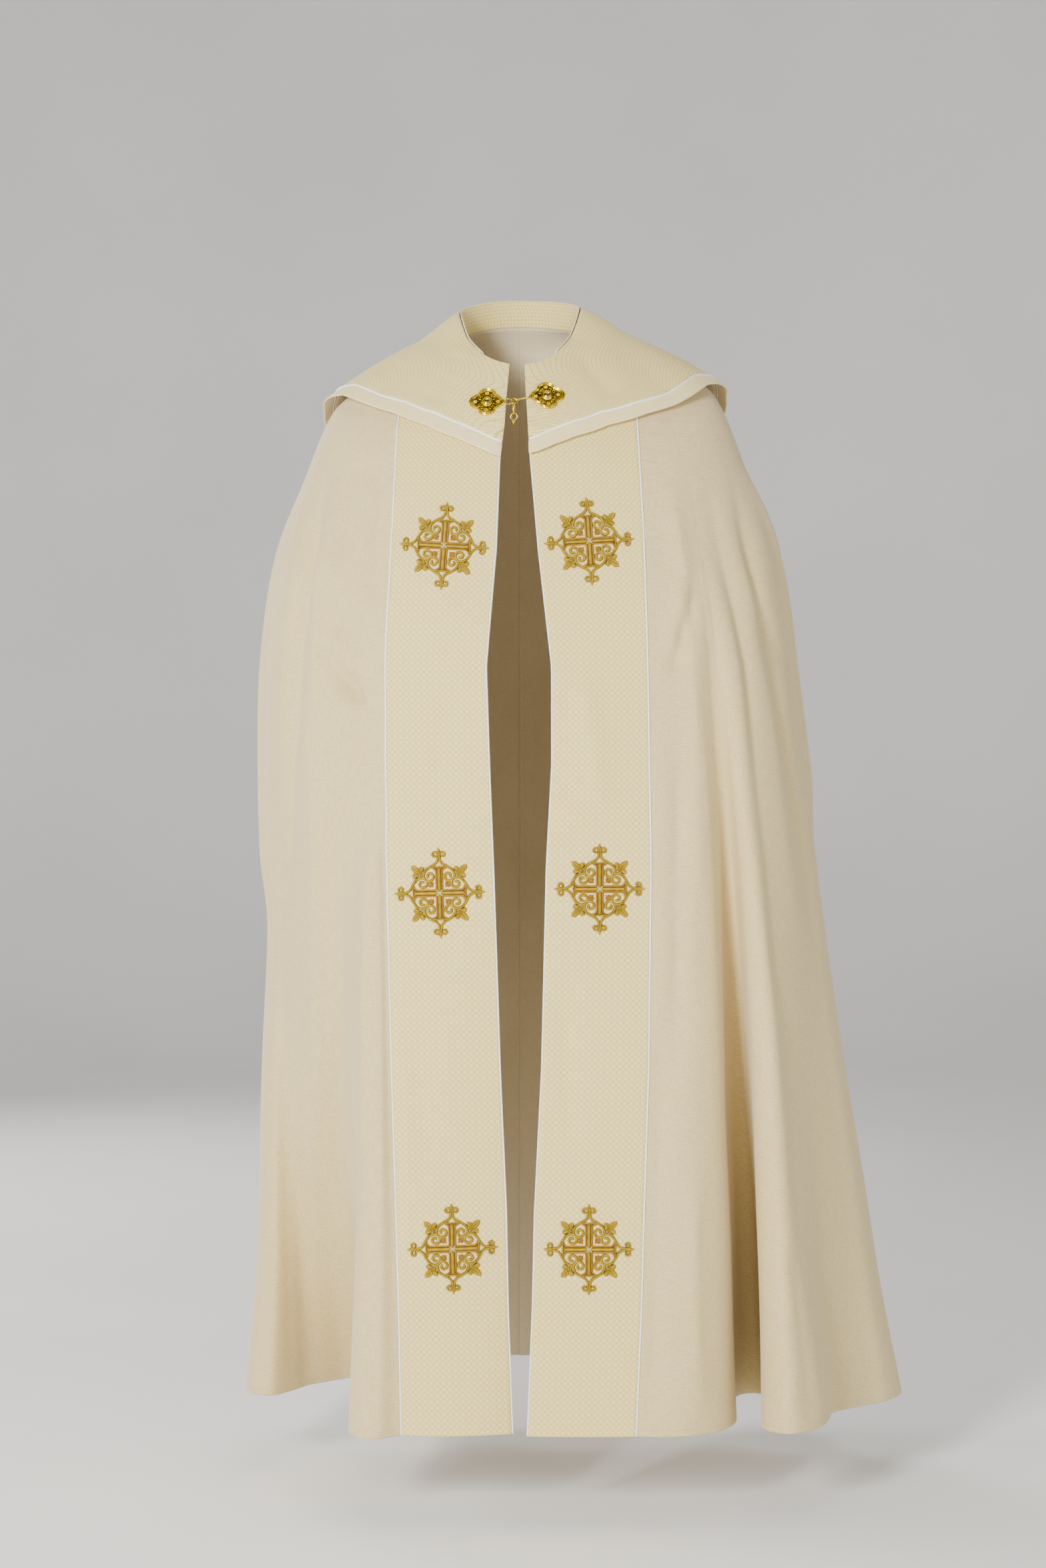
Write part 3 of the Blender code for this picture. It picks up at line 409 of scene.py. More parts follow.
def fold_points(place, side):
    """The points of the folds on one row, from the seam to the middle of the back."""
    ring = ring_at(place)
    seam_angle = angle_of(ring, side, front_distances(ring, side)[1])
    steps = 90
    angles = [mix(seam_angle, pi, step / steps) for step in range(steps + 1)]
    line = [ring_point(ring, side, angle) for angle in angles]
    travelled = [0.0]
    for start, end in zip(line, line[1:]):
        travelled.append(travelled[-1] + (end - start).length)
    folds = (LEFT_FOLDS if side == "left" else RIGHT_FOLDS) + (BACK_SEAM,)
    points = []
    for fold in folds:
        wanted = fold.place * travelled[-1]
        step = next(i for i in range(1, steps + 1) if travelled[i] >= wanted - 1e-9)
        share = (wanted - travelled[step - 1]) / (travelled[step] - travelled[step - 1])
        plain = line[step - 1].lerp(line[step], share)
        fallen = min(max((fold.start - plain.z) / (fold.start - HEM_Z), 0.0), 1.0)
        open_share = fallen**fold.power
        goal_x, goal_y = fold_goal(fold, ring, side)
        x = mix(plain.x, goal_x, open_share)
        y = mix(plain.y, goal_y, open_share)
        points.append(Vector((x, y, plain.z)))
    return points


# The cloak's surface
def side_row(place, side, folds, other):
    """One row of a side, from its front edge to the middle of the back."""
    row = [orphrey_point(place, side, step / ORPHREY_STEPS) for step in range(ORPHREY_STEPS + 1)]
    line = [orphrey_point(place, side, 0.75), row[-1], *folds, other[-2]]
    for index in range(1, len(line) - 2):
        four = line[index - 1 : index + 3]
        row.extend(curve_through(*four, step / FOLD_STEPS) for step in range(1, FOLD_STEPS + 1))
    return row


def row_places():
    """Ring places whose rows lie evenly down the cloak, closer at the hem."""
    places = []
    for index, (upper, lower) in enumerate(zip(RINGS, RINGS[1:])):
        count = max(3, round((upper.front_z - lower.front_z) / ROW_STEP))
        places.extend(index + step / count for step in range(count))
    places.extend((len(RINGS) - 1 - 0.025, len(RINGS) - 1.0))
    return places


def cloak_points():
    """All rows, each from the left front edge round the back to the right front edge."""
    rows = []
    for place in row_places():
        left_folds = fold_points(place, "left")
        right_folds = fold_points(place, "right")
        left = side_row(place, "left", left_folds, right_folds)
        right = side_row(place, "right", right_folds, left_folds)
        rows.append([tuple(point) for point in left[:-1] + right[::-1]])
    return np.array(rows)


def outward(grid):
    """The direction away from the wearer at each point of a grid."""
    across = np.gradient(grid, axis=1)
    down = np.gradient(grid, axis=0)
    normal = np.cross(across, down)
    return normal / np.linalg.norm(normal, axis=2, keepdims=True)


def spread_along(points, line):
    """Distance of points to a line of (across, height) points, and the share along it."""
    best = np.full(points.shape[:-1], 1e9)
    share = np.zeros(points.shape[:-1])
    pieces = len(line) - 1
    for index in range(pieces):
        start = line[index]
        run = line[index + 1] - start
        along = ((points - start) @ run) / (run @ run)
        near = np.clip(along, 0, 1)
        gap = np.linalg.norm(points - start - near[..., None] * run, axis=-1)
        closer = gap < best
        best = np.where(closer, gap, best)
        share = np.where(closer, (index + near) / pieces, share)
    return best, share


# The cape's own creases
CAPE_CREASES = {
    "front": (
        (13, -3, (-78, -26), (-88, -58), (-104, -88), (-112, -112)),
        (14, 2.2, (-60, -30), (-72, -56), (-86, -80)),
        (13, -2.4, (-150, -40), (-166, -70), (-190, -100)),
        (12, -2.6, (75, -24), (92, -56), (112, -84), (124, -104)),
        (15, 2.2, (100, -20), (124, -52), (150, -84)),
        (12, -2.2, (165, -42), (184, -72), (206, -100)),
    ),
    "left": (
        (15, -3, (20, -30), (30, -80), (45, -135)),
    ),
    "right": (
        (16, -2.8, (15, -25), (30, -80), (40, -130)),
    ),
    "back": (
        (20, -4.2, (-130, -60), (-140, -150), (-128, -250)),
        (24, 3.6, (-60, -50), (-58, -170), (-66, -290)),
        (17, -3.6, (12, -60), (18, -190), (8, -310)),
        (22, 3.4, (76, -50), (84, -160), (72, -270)),
        (18, -4, (140, -56), (152, -140), (146, -230)),
    ),
}
# For each face: the axis of its normal, the sign there, and the axis across
FACES = {"front": (1, -1, 0), "back": (1, 1, 0), "left": (0, -1, 1), "right": (0, 1, 1)}


def crease_height(grid, normals, creases, strength):
    """How far the creases move each point; a crease fades over a fifth of its length."""
    height = np.zeros(grid.shape[:2])
    for face, rows in creases.items():
        facing, sign, axis = FACES[face]
        toward = np.clip(normals[..., facing] * sign, 0, 1)
        for row in rows:
            width, depth = metres(*row[:2])
            gap, share = spread_along(grid[..., [axis, 2]], np.array(row[2:]) / 1000)
            ends = np.clip(share * 5, 0, 1) * np.clip((1 - share) * 5, 0, 1)
            ends = ends * ends * (3 - 2 * ends)
            wide = width * (0.70 + 0.4 * np.sin(9 * share + 40 * width) ** 2)
            height += strength * depth * np.exp(-((gap / wide) ** 1.6)) * ends * toward**0.7
    return height


def slow_height(grid):
    """The cloth's slow unevenness."""
    x, y, z = grid[..., 0], grid[..., 1], grid[..., 2]
    fall = np.clip((-0.12 - z) / 0.3, 0, 1)
    slow = np.sin(21 * x + 3.1 * np.sin(3.3 * z + 1)) * np.sin(9.7 * z + 17 * y + 0.4)
    quick = np.sin(47 * x - 29 * y + 2.0 * np.sin(6.1 * z)) * np.sin(13.3 * z + 31 * y + 2)
    return fall * (0.0011 * slow + 0.0005 * quick)


def held_under_cape(moved, grid, normals):
    """Ridges pressed flat beneath the cape, which reaches lowest at the back."""
    behind = np.clip(1.5 * normals[..., 1], 0, 1)
    free = np.clip((mix(-0.16, -0.36, behind) - grid[..., 2]) / 0.10, 0, 1)
    most = 0.0012 + 0.03 * free**2
    return np.where(moved > 0, most * np.tanh(moved / most), moved)


def lengths_across(grid):
    """Distance along each row from its first column."""
    steps = np.linalg.norm(np.diff(grid, axis=1), axis=2)
    return np.concatenate([np.zeros((grid.shape[0], 1)), steps.cumsum(1)], axis=1)


def lengths_up(grid):
    """Distance along each column up from its last row."""
    steps = np.linalg.norm(np.diff(grid, axis=0), axis=2)[::-1].cumsum(0)[::-1]
    return np.concatenate([steps, np.zeros((1, grid.shape[1]))], axis=0)


# Meshes
def new_object(name, points, faces, finishes, weave=None, face_finish=None):
    """A smooth mesh with a UV map in metres and its finishes."""
    mesh = bpy.data.meshes.new(name)
    mesh.from_pydata([tuple(point) for point in points], [], faces)
    for finish in finishes:
        mesh.materials.append(finish)
    mesh.polygons.foreach_set("use_smooth", [True] * len(mesh.polygons))
    if face_finish is not None:
        mesh.polygons.foreach_set("material_index", face_finish)
    if weave is not None:
        corners = np.empty(len(mesh.loops), dtype=np.int32)
        mesh.loops.foreach_get("vertex_index", corners)
        layer = mesh.uv_layers.new(name="weave")
        layer.data.foreach_set("uv", np.asarray(weave, dtype=np.float32)[corners].ravel())
    mesh.update()
    item = bpy.data.objects.new(name, mesh)
    bpy.context.scene.collection.objects.link(item)
    return item


def grid_faces(rows, columns, first, turned):
    """Quads of a grid of points, numbered from first."""
    faces = []
    for row in range(rows - 1):
        for column in range(columns - 1):
            here = first + row * columns + column
            quad = (here, here + columns, here + columns + 1, here + 1)
            faces.append(quad[::-1] if turned else quad)
    return faces


def rim_places(rows, columns):
    """The border of a grid, once round, as (row, column, outward row, outward column)."""
    rim = [(0, column, -1, 0) for column in range(columns)]
    rim += [(row, columns - 1, 0, 1) for row in range(1, rows)]
    rim += [(rows - 1, column, 1, 0) for column in range(columns - 2, -1, -1)]
    rim += [(row, 0, 0, -1) for row in range(rows - 2, 0, -1)]
    return rim


def shell(name, grid, normals, weave, finishes, wall=WALL, roll=0.45):
    """Cloth with a thickness and rounded edges; the grid is its outer face."""
    rows, columns = grid.shape[:2]
    count = rows * columns
    outer = grid.reshape(-1, 3)
    inner = (grid - normals * wall).reshape(-1, 3)
    points = [outer, inner]
    rim = rim_places(rows, columns)
    edge = []
    for row, column, down, right in rim:
        inside = grid[min(max(row - down, 0), rows - 1), min(max(column - right, 0), columns - 1)]
        away = grid[row, column] - inside
        away = away / max(np.linalg.norm(away), 1e-9)
        middle = grid[row, column] - normals[row, column] * wall / 2
        edge.append(middle + away * wall * roll)
    points.append(np.array(edge))
    faces = grid_faces(rows, columns, 0, False) + grid_faces(rows, columns, count, True)
    finish = [0] * (len(faces) // 2) + [len(finishes) - 1] * (len(faces) // 2)
    total = len(rim)
    for index in range(total):
        after = (index + 1) % total
        here = rim[index][0] * columns + rim[index][1]
        there = rim[after][0] * columns + rim[after][1]
        faces.append((here, there, 2 * count + after, 2 * count + index))
        faces.append((2 * count + index, 2 * count + after, count + there, count + here))
        finish += [0, 0]
    flat = weave.reshape(-1, 2)
    along = np.array([flat[row * columns + column] for row, column, _, _ in rim])
    weave = np.concatenate([flat, flat, along])
    return new_object(name, np.concatenate(points), faces, finishes, weave, finish)


def drawn_in(grid, start, end):
    """A panel whose first and last columns are drawn in by small seam distances."""
    grid = grid.copy()
    for edge, beside, distance in ((0, 1, start), (-1, -2, end)):
        run = grid[:, beside] - grid[:, edge]
        run /= np.linalg.norm(run, axis=1, keepdims=True)
        grid[:, edge] += run * distance
    return grid


def round_faces(rows, columns, turned=False, capped=True, looped=False):
    """Quads round a stack of closed rings of points, and a face at each end."""
    faces = []
    for row in range(rows if looped else rows - 1):
        below = (row + 1) % rows * columns
        for column in range(columns):
            after = (column + 1) % columns
            here = row * columns + column
            quad = (here, below + column, below + after, row * columns + after)
            faces.append((quad[0], *quad[:0:-1]) if turned else quad)
    if capped:
        ends = (tuple(range(columns)), tuple(range((rows - 1) * columns, rows * columns))[::-1])
        faces += [end[::-1] if turned else end for end in ends]
    return faces


def half_round(width, height, base, points=9):
    """Half an oval: across and out offsets, flat underneath."""
    turns = np.linspace(0, pi, points)
    return np.stack([-np.cos(turns) * width / 2, base + np.sin(turns) * height], axis=1)


def cord_weave(centres, columns, width):
    """Cloth coordinates of a cord: across its face and along its length."""
    steps = np.linalg.norm(np.diff(centres, axis=0), axis=1)
    weave = np.zeros((len(centres), columns, 2))
    weave[..., 0] = np.linspace(0, width, columns)[None]
    weave[..., 1] = np.concatenate([[0], steps.cumsum()])[:, None]
    return weave.reshape(-1, 2)


def tube(centres, normals, section, weave_width, shift=None):
    """A cord whose section is (across, out) offsets; a shift moves it towards +X."""
    run = np.gradient(centres, axis=0)
    run /= np.linalg.norm(run, axis=1, keepdims=True)
    sideways = np.cross(run, normals)
    sideways /= np.linalg.norm(sideways, axis=1, keepdims=True)
    if shift is not None:
        sideways *= np.sign(sideways[:, [0]])
        centres = centres + sideways * shift
    points = (
        centres[:, None]
        + sideways[:, None] * section[:, 0, None]
        + normals[:, None] * section[:, 1, None]
    )
    faces = round_faces(len(centres), len(section))
    return points.reshape(-1, 3), faces, cord_weave(centres, len(section), weave_width)


def joined(name, parts, finishes):
    """One object from several (points, faces, weave, finish number) parts."""
    points = []
    faces = []
    weave = []
    groups = []
    start = 0
    for part_points, part_faces, part_weave, group in parts:
        points.append(np.asarray(part_points))
        faces += [tuple(start + corner for corner in face) for face in part_faces]
        weave.append(np.asarray(part_weave))
        groups += [group] * len(part_faces)
        start += len(part_points)
    return new_object(name, np.concatenate(points), faces, finishes, np.concatenate(weave), groups)


def dress(item, node, body="cope"):
    """Let a piece stand for a CAD node and its body."""
    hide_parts(node)
    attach(item, body)
    return item


def curved_line(points, steps):
    """A Catmull-Rom line through points, with steps between each two."""
    knots = [np.array(point, dtype=float) for point in points]
    knots = [2 * knots[0] - knots[1], *knots, 2 * knots[-1] - knots[-2]]
    line = []
    for index in range(1, len(knots) - 2):
        line += [curve_through(*knots[index - 1 : index + 3], step / steps) for step in range(steps)]
    return np.array([*line, knots[-2]])


# Materials
class Net:
    """A material's nodes, made from short calls."""

    def __init__(self, name):
        self.material = bpy.data.materials.new(name)
        self.material.use_nodes = True
        self.tree = self.material.node_tree
        self.shader = self.tree.nodes["Principled BSDF"]

    def node(self, kind, **settings):
        made = self.tree.nodes.new(kind)
        for key, value in settings.items():
            setattr(made, key, value)
        return made

    def link(self, source, target):
        self.tree.links.new(source, target)

    def feed(self, target, value):
        """Link a value to a socket, or set it there when it is constant."""
        if hasattr(value, "is_output"):
            self.link(value, target)
        else:
            target.default_value = value

    def math(self, operation, *values):
        made = self.node("ShaderNodeMath", operation=operation)
        for socket, value in zip(made.inputs, values):
            self.feed(socket, value)
        return made.outputs[0]

    def times(self, *values):
        return self.math("MULTIPLY", *values)

    def plus(self, *values):
        return self.math("ADD", *values)

    def place(self):
        """Coordinates in metres on a piece with no cloth coordinates."""
        return self.node("ShaderNodeTexCoord").outputs["Object"]

    def weave(self):
        """The cloth's own coordinates in metres."""
        made = self.node("ShaderNodeUVMap", uv_map="weave")
        apart = self.node("ShaderNodeSeparateXYZ")
        self.link(made.outputs[0], apart.inputs[0])
        return made.outputs[0], apart.outputs[0], apart.outputs[1]

    def noise(self, where, scale, detail=2.0, stretch=None, roughness=0.5):
        """Cloudy noise; stretch scales it along each direction."""
        made = self.node("ShaderNodeTexNoise")
        made.inputs["Scale"].default_value = scale
        made.inputs["Detail"].default_value = detail
        made.inputs["Roughness"].default_value = roughness
        if stretch:
            mapping = self.node("ShaderNodeMapping")
            mapping.inputs["Scale"].default_value = stretch
            self.link(where, mapping.inputs["Vector"])
            where = mapping.outputs[0]
        self.link(where, made.inputs["Vector"])
        return made.outputs["Fac"]

    def ramp(self, value, *stops):
        """Colours in 0-255 values, each at its place along a value."""
        made = self.node("ShaderNodeValToRGB")
        ramp = made.color_ramp
        while len(ramp.elements) < len(stops):
            ramp.elements.new(0.5)
        for element, (place, colour) in zip(ramp.elements, stops):
            element.position = place
            element.color = (*srgb(*colour), 1)
        self.link(value, made.inputs[0])
        return made.outputs[0]

    def mixed(self, share, first, second):
        """Two colours mixed; a constant one is in 0-255 values."""
        made = self.node("ShaderNodeMix", data_type="RGBA")
        self.feed(made.inputs[0], share)
        for socket, colour in zip(made.inputs[6:8], (first, second)):
            self.feed(socket, colour if hasattr(colour, "is_output") else (*srgb(*colour), 1))
        return made.outputs[2]

    def bump(self, height, strength, distance):
        """Use a height as the surface's fine relief."""
        made = self.node("ShaderNodeBump")
        made.inputs["Strength"].default_value = strength
        made.inputs["Distance"].default_value = distance
        self.link(height, made.inputs["Height"])
        self.link(made.outputs[0], self.shader.inputs["Normal"])

    def set(self, **values):
        for key, value in values.items():
            self.feed(self.shader.inputs[key.replace("_", " ")], value)

    def wave(self, place, period):
        """A smooth wave between 0 and 1 with a period in metres."""
        turn = self.math("MULTIPLY", place, 2 * pi / period)
        return self.math("MULTIPLY_ADD", self.math("SINE", turn), 0.5, 0.5)

    def within(self, place, middle, half):
        """1 where place is within half of middle, else 0."""
        return self.math("COMPARE", place, middle, half)


def srgb(red, green, blue):
    """A colour given as 0-255 display values."""
    def linear(value):
        value /= 255
        return value / 12.92 if value <= 0.04045 else ((value + 0.055) / 1.055) ** 2.4
    return (linear(red), linear(green), linear(blue))


LINEN_PITCH = 0.00085
HEM_LINE = 0.0075
HEM_LINE_HALF = 0.0005
STITCH_PITCH = 0.0026


def linen(name, stitched, shades):
    """Plain woven mantle cloth: slubs along and across, and a fine even weave."""
    net = Net(name)
    where, across, up = net.weave()
    warp = net.noise(where, 1.0, 3.0, (1000, 70, 1))
    weft = net.noise(where, 1.0, 3.0, (70, 1000, 1))
    threads = net.plus(net.times(warp, 0.5), net.times(weft, 0.5))
    heather = net.noise(where, 620.0, 4.0)
    tone = net.plus(net.times(threads, 0.5), net.times(heather, 0.5))
    colour = net.ramp(tone, (0.36, shades[0]), (0.50, shades[1]), (0.64, shades[2]))
    broad = net.noise(where, 7.0, 3.0)
    colour = net.mixed(net.times(broad, 0.22), colour, (214, 186, 128))
    weave = net.times(net.wave(across, LINEN_PITCH), net.wave(up, LINEN_PITCH))
    height = net.plus(net.times(weave, 0.45), net.times(threads, 1.1))
    if stitched:
        line = net.within(up, HEM_LINE, HEM_LINE_HALF)
        dash = net.math("GREATER_THAN", net.wave(across, STITCH_PITCH), 0.22)
        stitch = net.times(line, dash)
        colour = net.mixed(net.times(stitch, 0.45), colour, (188, 172, 146))
        height = net.math("SUBTRACT", height, net.times(stitch, 1.2))
    net.set(Base_Color=colour, Roughness=0.86, Sheen_Weight=0.28, Sheen_Roughness=0.45)
    net.set(Specular_IOR_Level=0.25)
    net.bump(height, 0.55, 0.00035)
    return net.material


DAMASK_MAIN = (247, 228, 154)
# The colour between the ribs, a painted shade
DAMASK_GROOVE_SHADE = (233, 208, 124)
DAMASK_LINE = (138, 100, 14)
LINE_START = 0.448
DASH_PITCH = 0.00115
RIB_PITCH = 0.0009


def damask(name, cell, turned):
    """Woven lattice of dashed gold lines with ribbed cells; turned lays it at 45 degrees. Painted shade
    lies between the ribs, and a painted sheen on every other cell.
    """
    net = Net(name)
    where, across, up = net.weave()
    if turned:
        first = net.times(net.plus(across, up), sqrt(0.5))
        second = net.times(net.math("SUBTRACT", across, up), sqrt(0.5))
    else:
        first = across
        second = up
    cells = []
    lines = []
    for place, other in ((first, second), (second, first)):
        scaled = net.math("DIVIDE", place, cell)
        cells.append(net.math("FLOOR", scaled))
        offset = net.math("ABSOLUTE", net.math("SUBTRACT", net.math("FRACT", scaled), 0.5))
        line = net.math("GREATER_THAN", offset, LINE_START)
        dash = net.math("GREATER_THAN", net.wave(other, DASH_PITCH), 0.34)
        lines.append((line, dash))
    crossing = net.times(lines[0][0], lines[1][0])
    either = net.math("MAXIMUM", net.times(*lines[0]), net.times(*lines[1]))
    parity = net.math("MODULO", net.math("ABSOLUTE", net.plus(*cells)), 2.0)
    ribs = net.times(net.wave(first, RIB_PITCH), parity)
    cross_ribs = net.times(net.wave(second, RIB_PITCH), net.math("SUBTRACT", 1.0, parity))
    ribs = net.plus(ribs, cross_ribs)
    threads = net.noise(where, 1.0, 3.0, (700, 60, 1))
    # Painted shade: the grooves between the ribs are darker than the rib tops
    colour = net.mixed(ribs, DAMASK_GROOVE_SHADE, DAMASK_MAIN)
    # Painted sheen lightens every other cell
    colour = net.mixed(net.times(parity, 0.25), colour, (251, 236, 176))
    colour = net.mixed(net.times(either, 0.70), colour, DAMASK_LINE)
    colour = net.mixed(net.times(crossing, 0.55), colour, (118, 88, 36))
    colour = net.mixed(net.times(threads, 0.16), colour, (210, 178, 104))
    height = net.plus(net.times(ribs, 0.6), net.times(threads, 0.5))
    height = net.math("SUBTRACT", height, net.times(either, 0.9))
    rough = net.math("MULTIPLY_ADD", net.math("MAXIMUM", either, ribs), -0.12, 0.66)
    net.set(Base_Color=colour, Roughness=rough, Sheen_Weight=0.15, Sheen_Roughness=0.4)
    net.set(Specular_IOR_Level=0.4)
    net.bump(height, 0.6, 0.0004)
    return net.material


def plain_satin(name, colour_light, colour_dark, rough, twist=None):
    """Smooth satin; with twist, the slanting plies of a cord, with painted shade in the grooves between
    them.
    """
    net = Net(name)
    where, across, up = net.weave()
    fine = net.noise(where, 1.0, 3.0, (1400, 90, 1))
    colour = net.ramp(fine, (0.35, colour_dark), (0.62, colour_light))
    height = fine
    if twist:
        slant = net.plus(up, net.times(across, 0.8))
        ply = net.wave(slant, twist)
        # Painted shade: the grooves between the plies are darkened towards colour_dark
        colour = net.mixed(net.times(ply, 0.30), colour, colour_dark)
        height = net.math("SUBTRACT", fine, net.times(ply, 1.5))
    net.set(Base_Color=colour, Roughness=rough, Sheen_Weight=0.2, Sheen_Roughness=0.35)
    net.set(Specular_IOR_Level=0.5)
    net.bump(height, 0.35, 0.0003)
    return net.material


def thread(name, light, dark, deep, period, metal):
    """Satin stitches of shining thread laid across each cord, with painted highlights and painted shade.
    """
    net = Net(name)
    where, across, up = net.weave()
    jitter = net.noise(where, 1.0, 2.0, (300, 900, 1))
    laid = net.plus(up, net.times(jitter, period * 0.6))
    stitch = net.wave(laid, period)
    broad = net.noise(where, 130.0, 3.0)
    tone = net.plus(net.times(stitch, 0.5), net.times(broad, 0.5))
    # Painted highlight on each stitch (light), painted shadow between stitches (deep); dark is the mid
    # tone
    colour = net.ramp(tone, (0.22, deep), (0.45, dark), (0.72, light))
    # Painted shade darkens both edges of each cord, where it meets the cloth
    beside = net.math("ABSOLUTE", net.math("MULTIPLY_ADD", across, 500.0, -1.0))
    painted_edge_shade = net.times(net.math("POWER", net.math("MINIMUM", beside, 1.0), 3.0), 0.95)
    colour = net.mixed(painted_edge_shade, colour, deep)
    rough = net.math("MULTIPLY_ADD", broad, 0.22, 0.24)
    net.set(Base_Color=colour, Roughness=rough, Metallic=metal)
    net.bump(stitch, 0.7, 0.00025)
    return net.material


def cloudy_metal(name, grain_scale, cloud_scale, rough, bump, stops):
    """Gilt metal: a cloudy colour, with fine marks in its gloss and its surface."""
    net = Net(name)
    grain = net.noise(net.place(), grain_scale, 4.0)
    colour = net.ramp(net.noise(net.place(), cloud_scale, 3.0), *stops)
    net.set(Base_Color=colour, Roughness=net.math("MULTIPLY_ADD", grain, *rough), Metallic=1.0)
    net.bump(grain, *bump)
    return net.material


def dark_stone(name):
    """A polished dark stone with a reddish cloud."""
    net = Net(name)
    cloud = net.noise(net.place(), 500.0, 3.0)
    colour = net.ramp(cloud, (0.35, (17.9, 15.6, 15.6)), (0.70, (63.2, 38.7, 32.7)))
    rough = net.math("MULTIPLY_ADD", cloud, 0.10, 0.04)
    net.set(Base_Color=colour, Roughness=rough)
    net.set(Coat_Weight=1.0)
    return net.material


def studio_floor(name):
    """Pale paper, lit a little from within so that it stays plain."""
    net = Net(name)
    cloud = net.noise(net.place(), 1.3, 2.0)
    colour = net.ramp(cloud, (0.30, (234, 233, 231)), (0.70, (239, 238, 236)))
    net.set(Base_Color=colour, Roughness=0.9, Emission_Color=colour, Emission_Strength=0.15)
    net.set(Specular_IOR_Level=0.1)
    return net.material


LINEN = linen("mantle_cloth", True, ((186, 162, 108), (212, 192, 141), (227, 210, 163)))
LINEN_BACK = linen("mantle_cloth_inside", False, ((220, 204, 168), (234, 220, 188), (242, 231, 206)))
ORPHREY_DAMASK = damask("orphrey_damask", 0.0056, True)
CAPE_DAMASK = damask("cape_damask", 0.0050, False)
BAND_SATIN = plain_satin("band_satin", (243, 224, 168), (230, 207, 146), 0.52)
LINING = plain_satin("lining_satin", (236, 222, 188), (222, 206, 168), 0.58)
CORD_SATIN = plain_satin("cord_satin", (255, 255, 252), (238, 236, 228), 0.30, 0.0032)
# Thread colours: painted highlight, mid tone and painted shadow; the shadow also darkens the cords'
# edges
GOLD_BRIGHT = thread("gold_thread_bright", (236, 198, 36), (156, 120, 6), (20, 13, 1), 0.00050, 0.62)
GOLD_ORANGE = thread("gold_thread_orange", (216, 158, 38), (160, 106, 12), (44, 26, 3), 0.00045, 0.35)
STITCH_WHITE = thread("stitch_white", (240, 236, 224), (214, 206, 186), (176, 164, 140), 0.00050, 0.0)
GOLD_METAL = cloudy_metal(
    "gilt_metal", 900.0, 160.0, (0.20, 0.10), (0.18, 0.0002),
    ((0.30, (196, 156, 16)), (0.55, (240, 206, 40)), (0.75, (255, 232, 90))),
)
# The hollows' metal is darker all over: painted shade in the disc's recesses
GOLD_HOLLOW_SHADE = cloudy_metal(
    "gilt_hollow_shade", 1500.0, 240.0, (0.30, 0.22), (0.6, 0.0003),
    ((0.32, (50, 38, 6)), (0.55, (120, 94, 14)), (0.76, (200, 164, 36))),
)
STONE = dark_stone("dark_stone")
FLOOR = studio_floor("studio_floor")

# The cloak with its creases
CLOAK = cloak_points()
SMOOTH_NORMALS = outward(CLOAK)
MOVED = crease_height(CLOAK, SMOOTH_NORMALS, CREASES, CREASE_STRENGTH) + slow_height(CLOAK)
MOVED = held_under_cape(MOVED, CLOAK, SMOOTH_NORMALS)
CLOAK = CLOAK + SMOOTH_NORMALS * MOVED[..., None]
NORMALS = outward(CLOAK)
LAST = CLOAK.shape[1] - 1
LEFT_SEAM = ORPHREY_STEPS
RIGHT_SEAM = LAST - ORPHREY_STEPS
BACK = ORPHREY_STEPS + FOLD_STEPS * (len(LEFT_FOLDS) + 1)
UP = lengths_up(CLOAK)


def cloth_panel(name, node, columns, drawn, finishes, middle=0):
    """A panel of the cloak between two columns, drawn in a little at its seams."""
    part = slice(columns[0], columns[1] + 1)
    grid = drawn_in(CLOAK[:, part], *drawn)
    across = lengths_across(grid)
    across = across - across[:, [middle]]
    weave = np.stack([across, UP[:, part]], axis=2)
    dress(shell(name, grid, NORMALS[:, part], weave, finishes), node)


HALF_GAP = SEAM_GAP / 2
EDGE_TRIM = EDGE_CORD_WIDTH + SEAM_GAP
MANTLE_CLOTH = (LINEN, LINEN_BACK)
BAND_CLOTH = (ORPHREY_DAMASK, LINING)
BAND_MIDDLE = ORPHREY_STEPS // 2
cloth_panel("cloak_right", "mantle_right", (LEFT_SEAM, BACK), (HALF_GAP, HALF_GAP), MANTLE_CLOTH)
cloth_panel("cloak_left", "mantle_left", (BACK, RIGHT_SEAM), (HALF_GAP, HALF_GAP), MANTLE_CLOTH)
cloth_panel("band_right", "orphrey_right", (0, LEFT_SEAM), (EDGE_TRIM, HALF_GAP), BAND_CLOTH,
            BAND_MIDDLE)
cloth_panel("band_left", "orphrey_left", (RIGHT_SEAM, LAST), (HALF_GAP, EDGE_TRIM), BAND_CLOTH,
            BAND_MIDDLE)


# The cords on the outer seams and the front edges
def cord_on(name, node, column, first_row, section, width, shift):
    """A satin cord down a column of the cloak, moved sideways by shift."""
    centres = CLOAK[first_row:, column]
    points, faces, weave = tube(centres, NORMALS[first_row:, column], section, width * 1.4, shift)
    dress(joined(name, [(points, faces, weave, 0)], (CORD_SATIN,)), node)


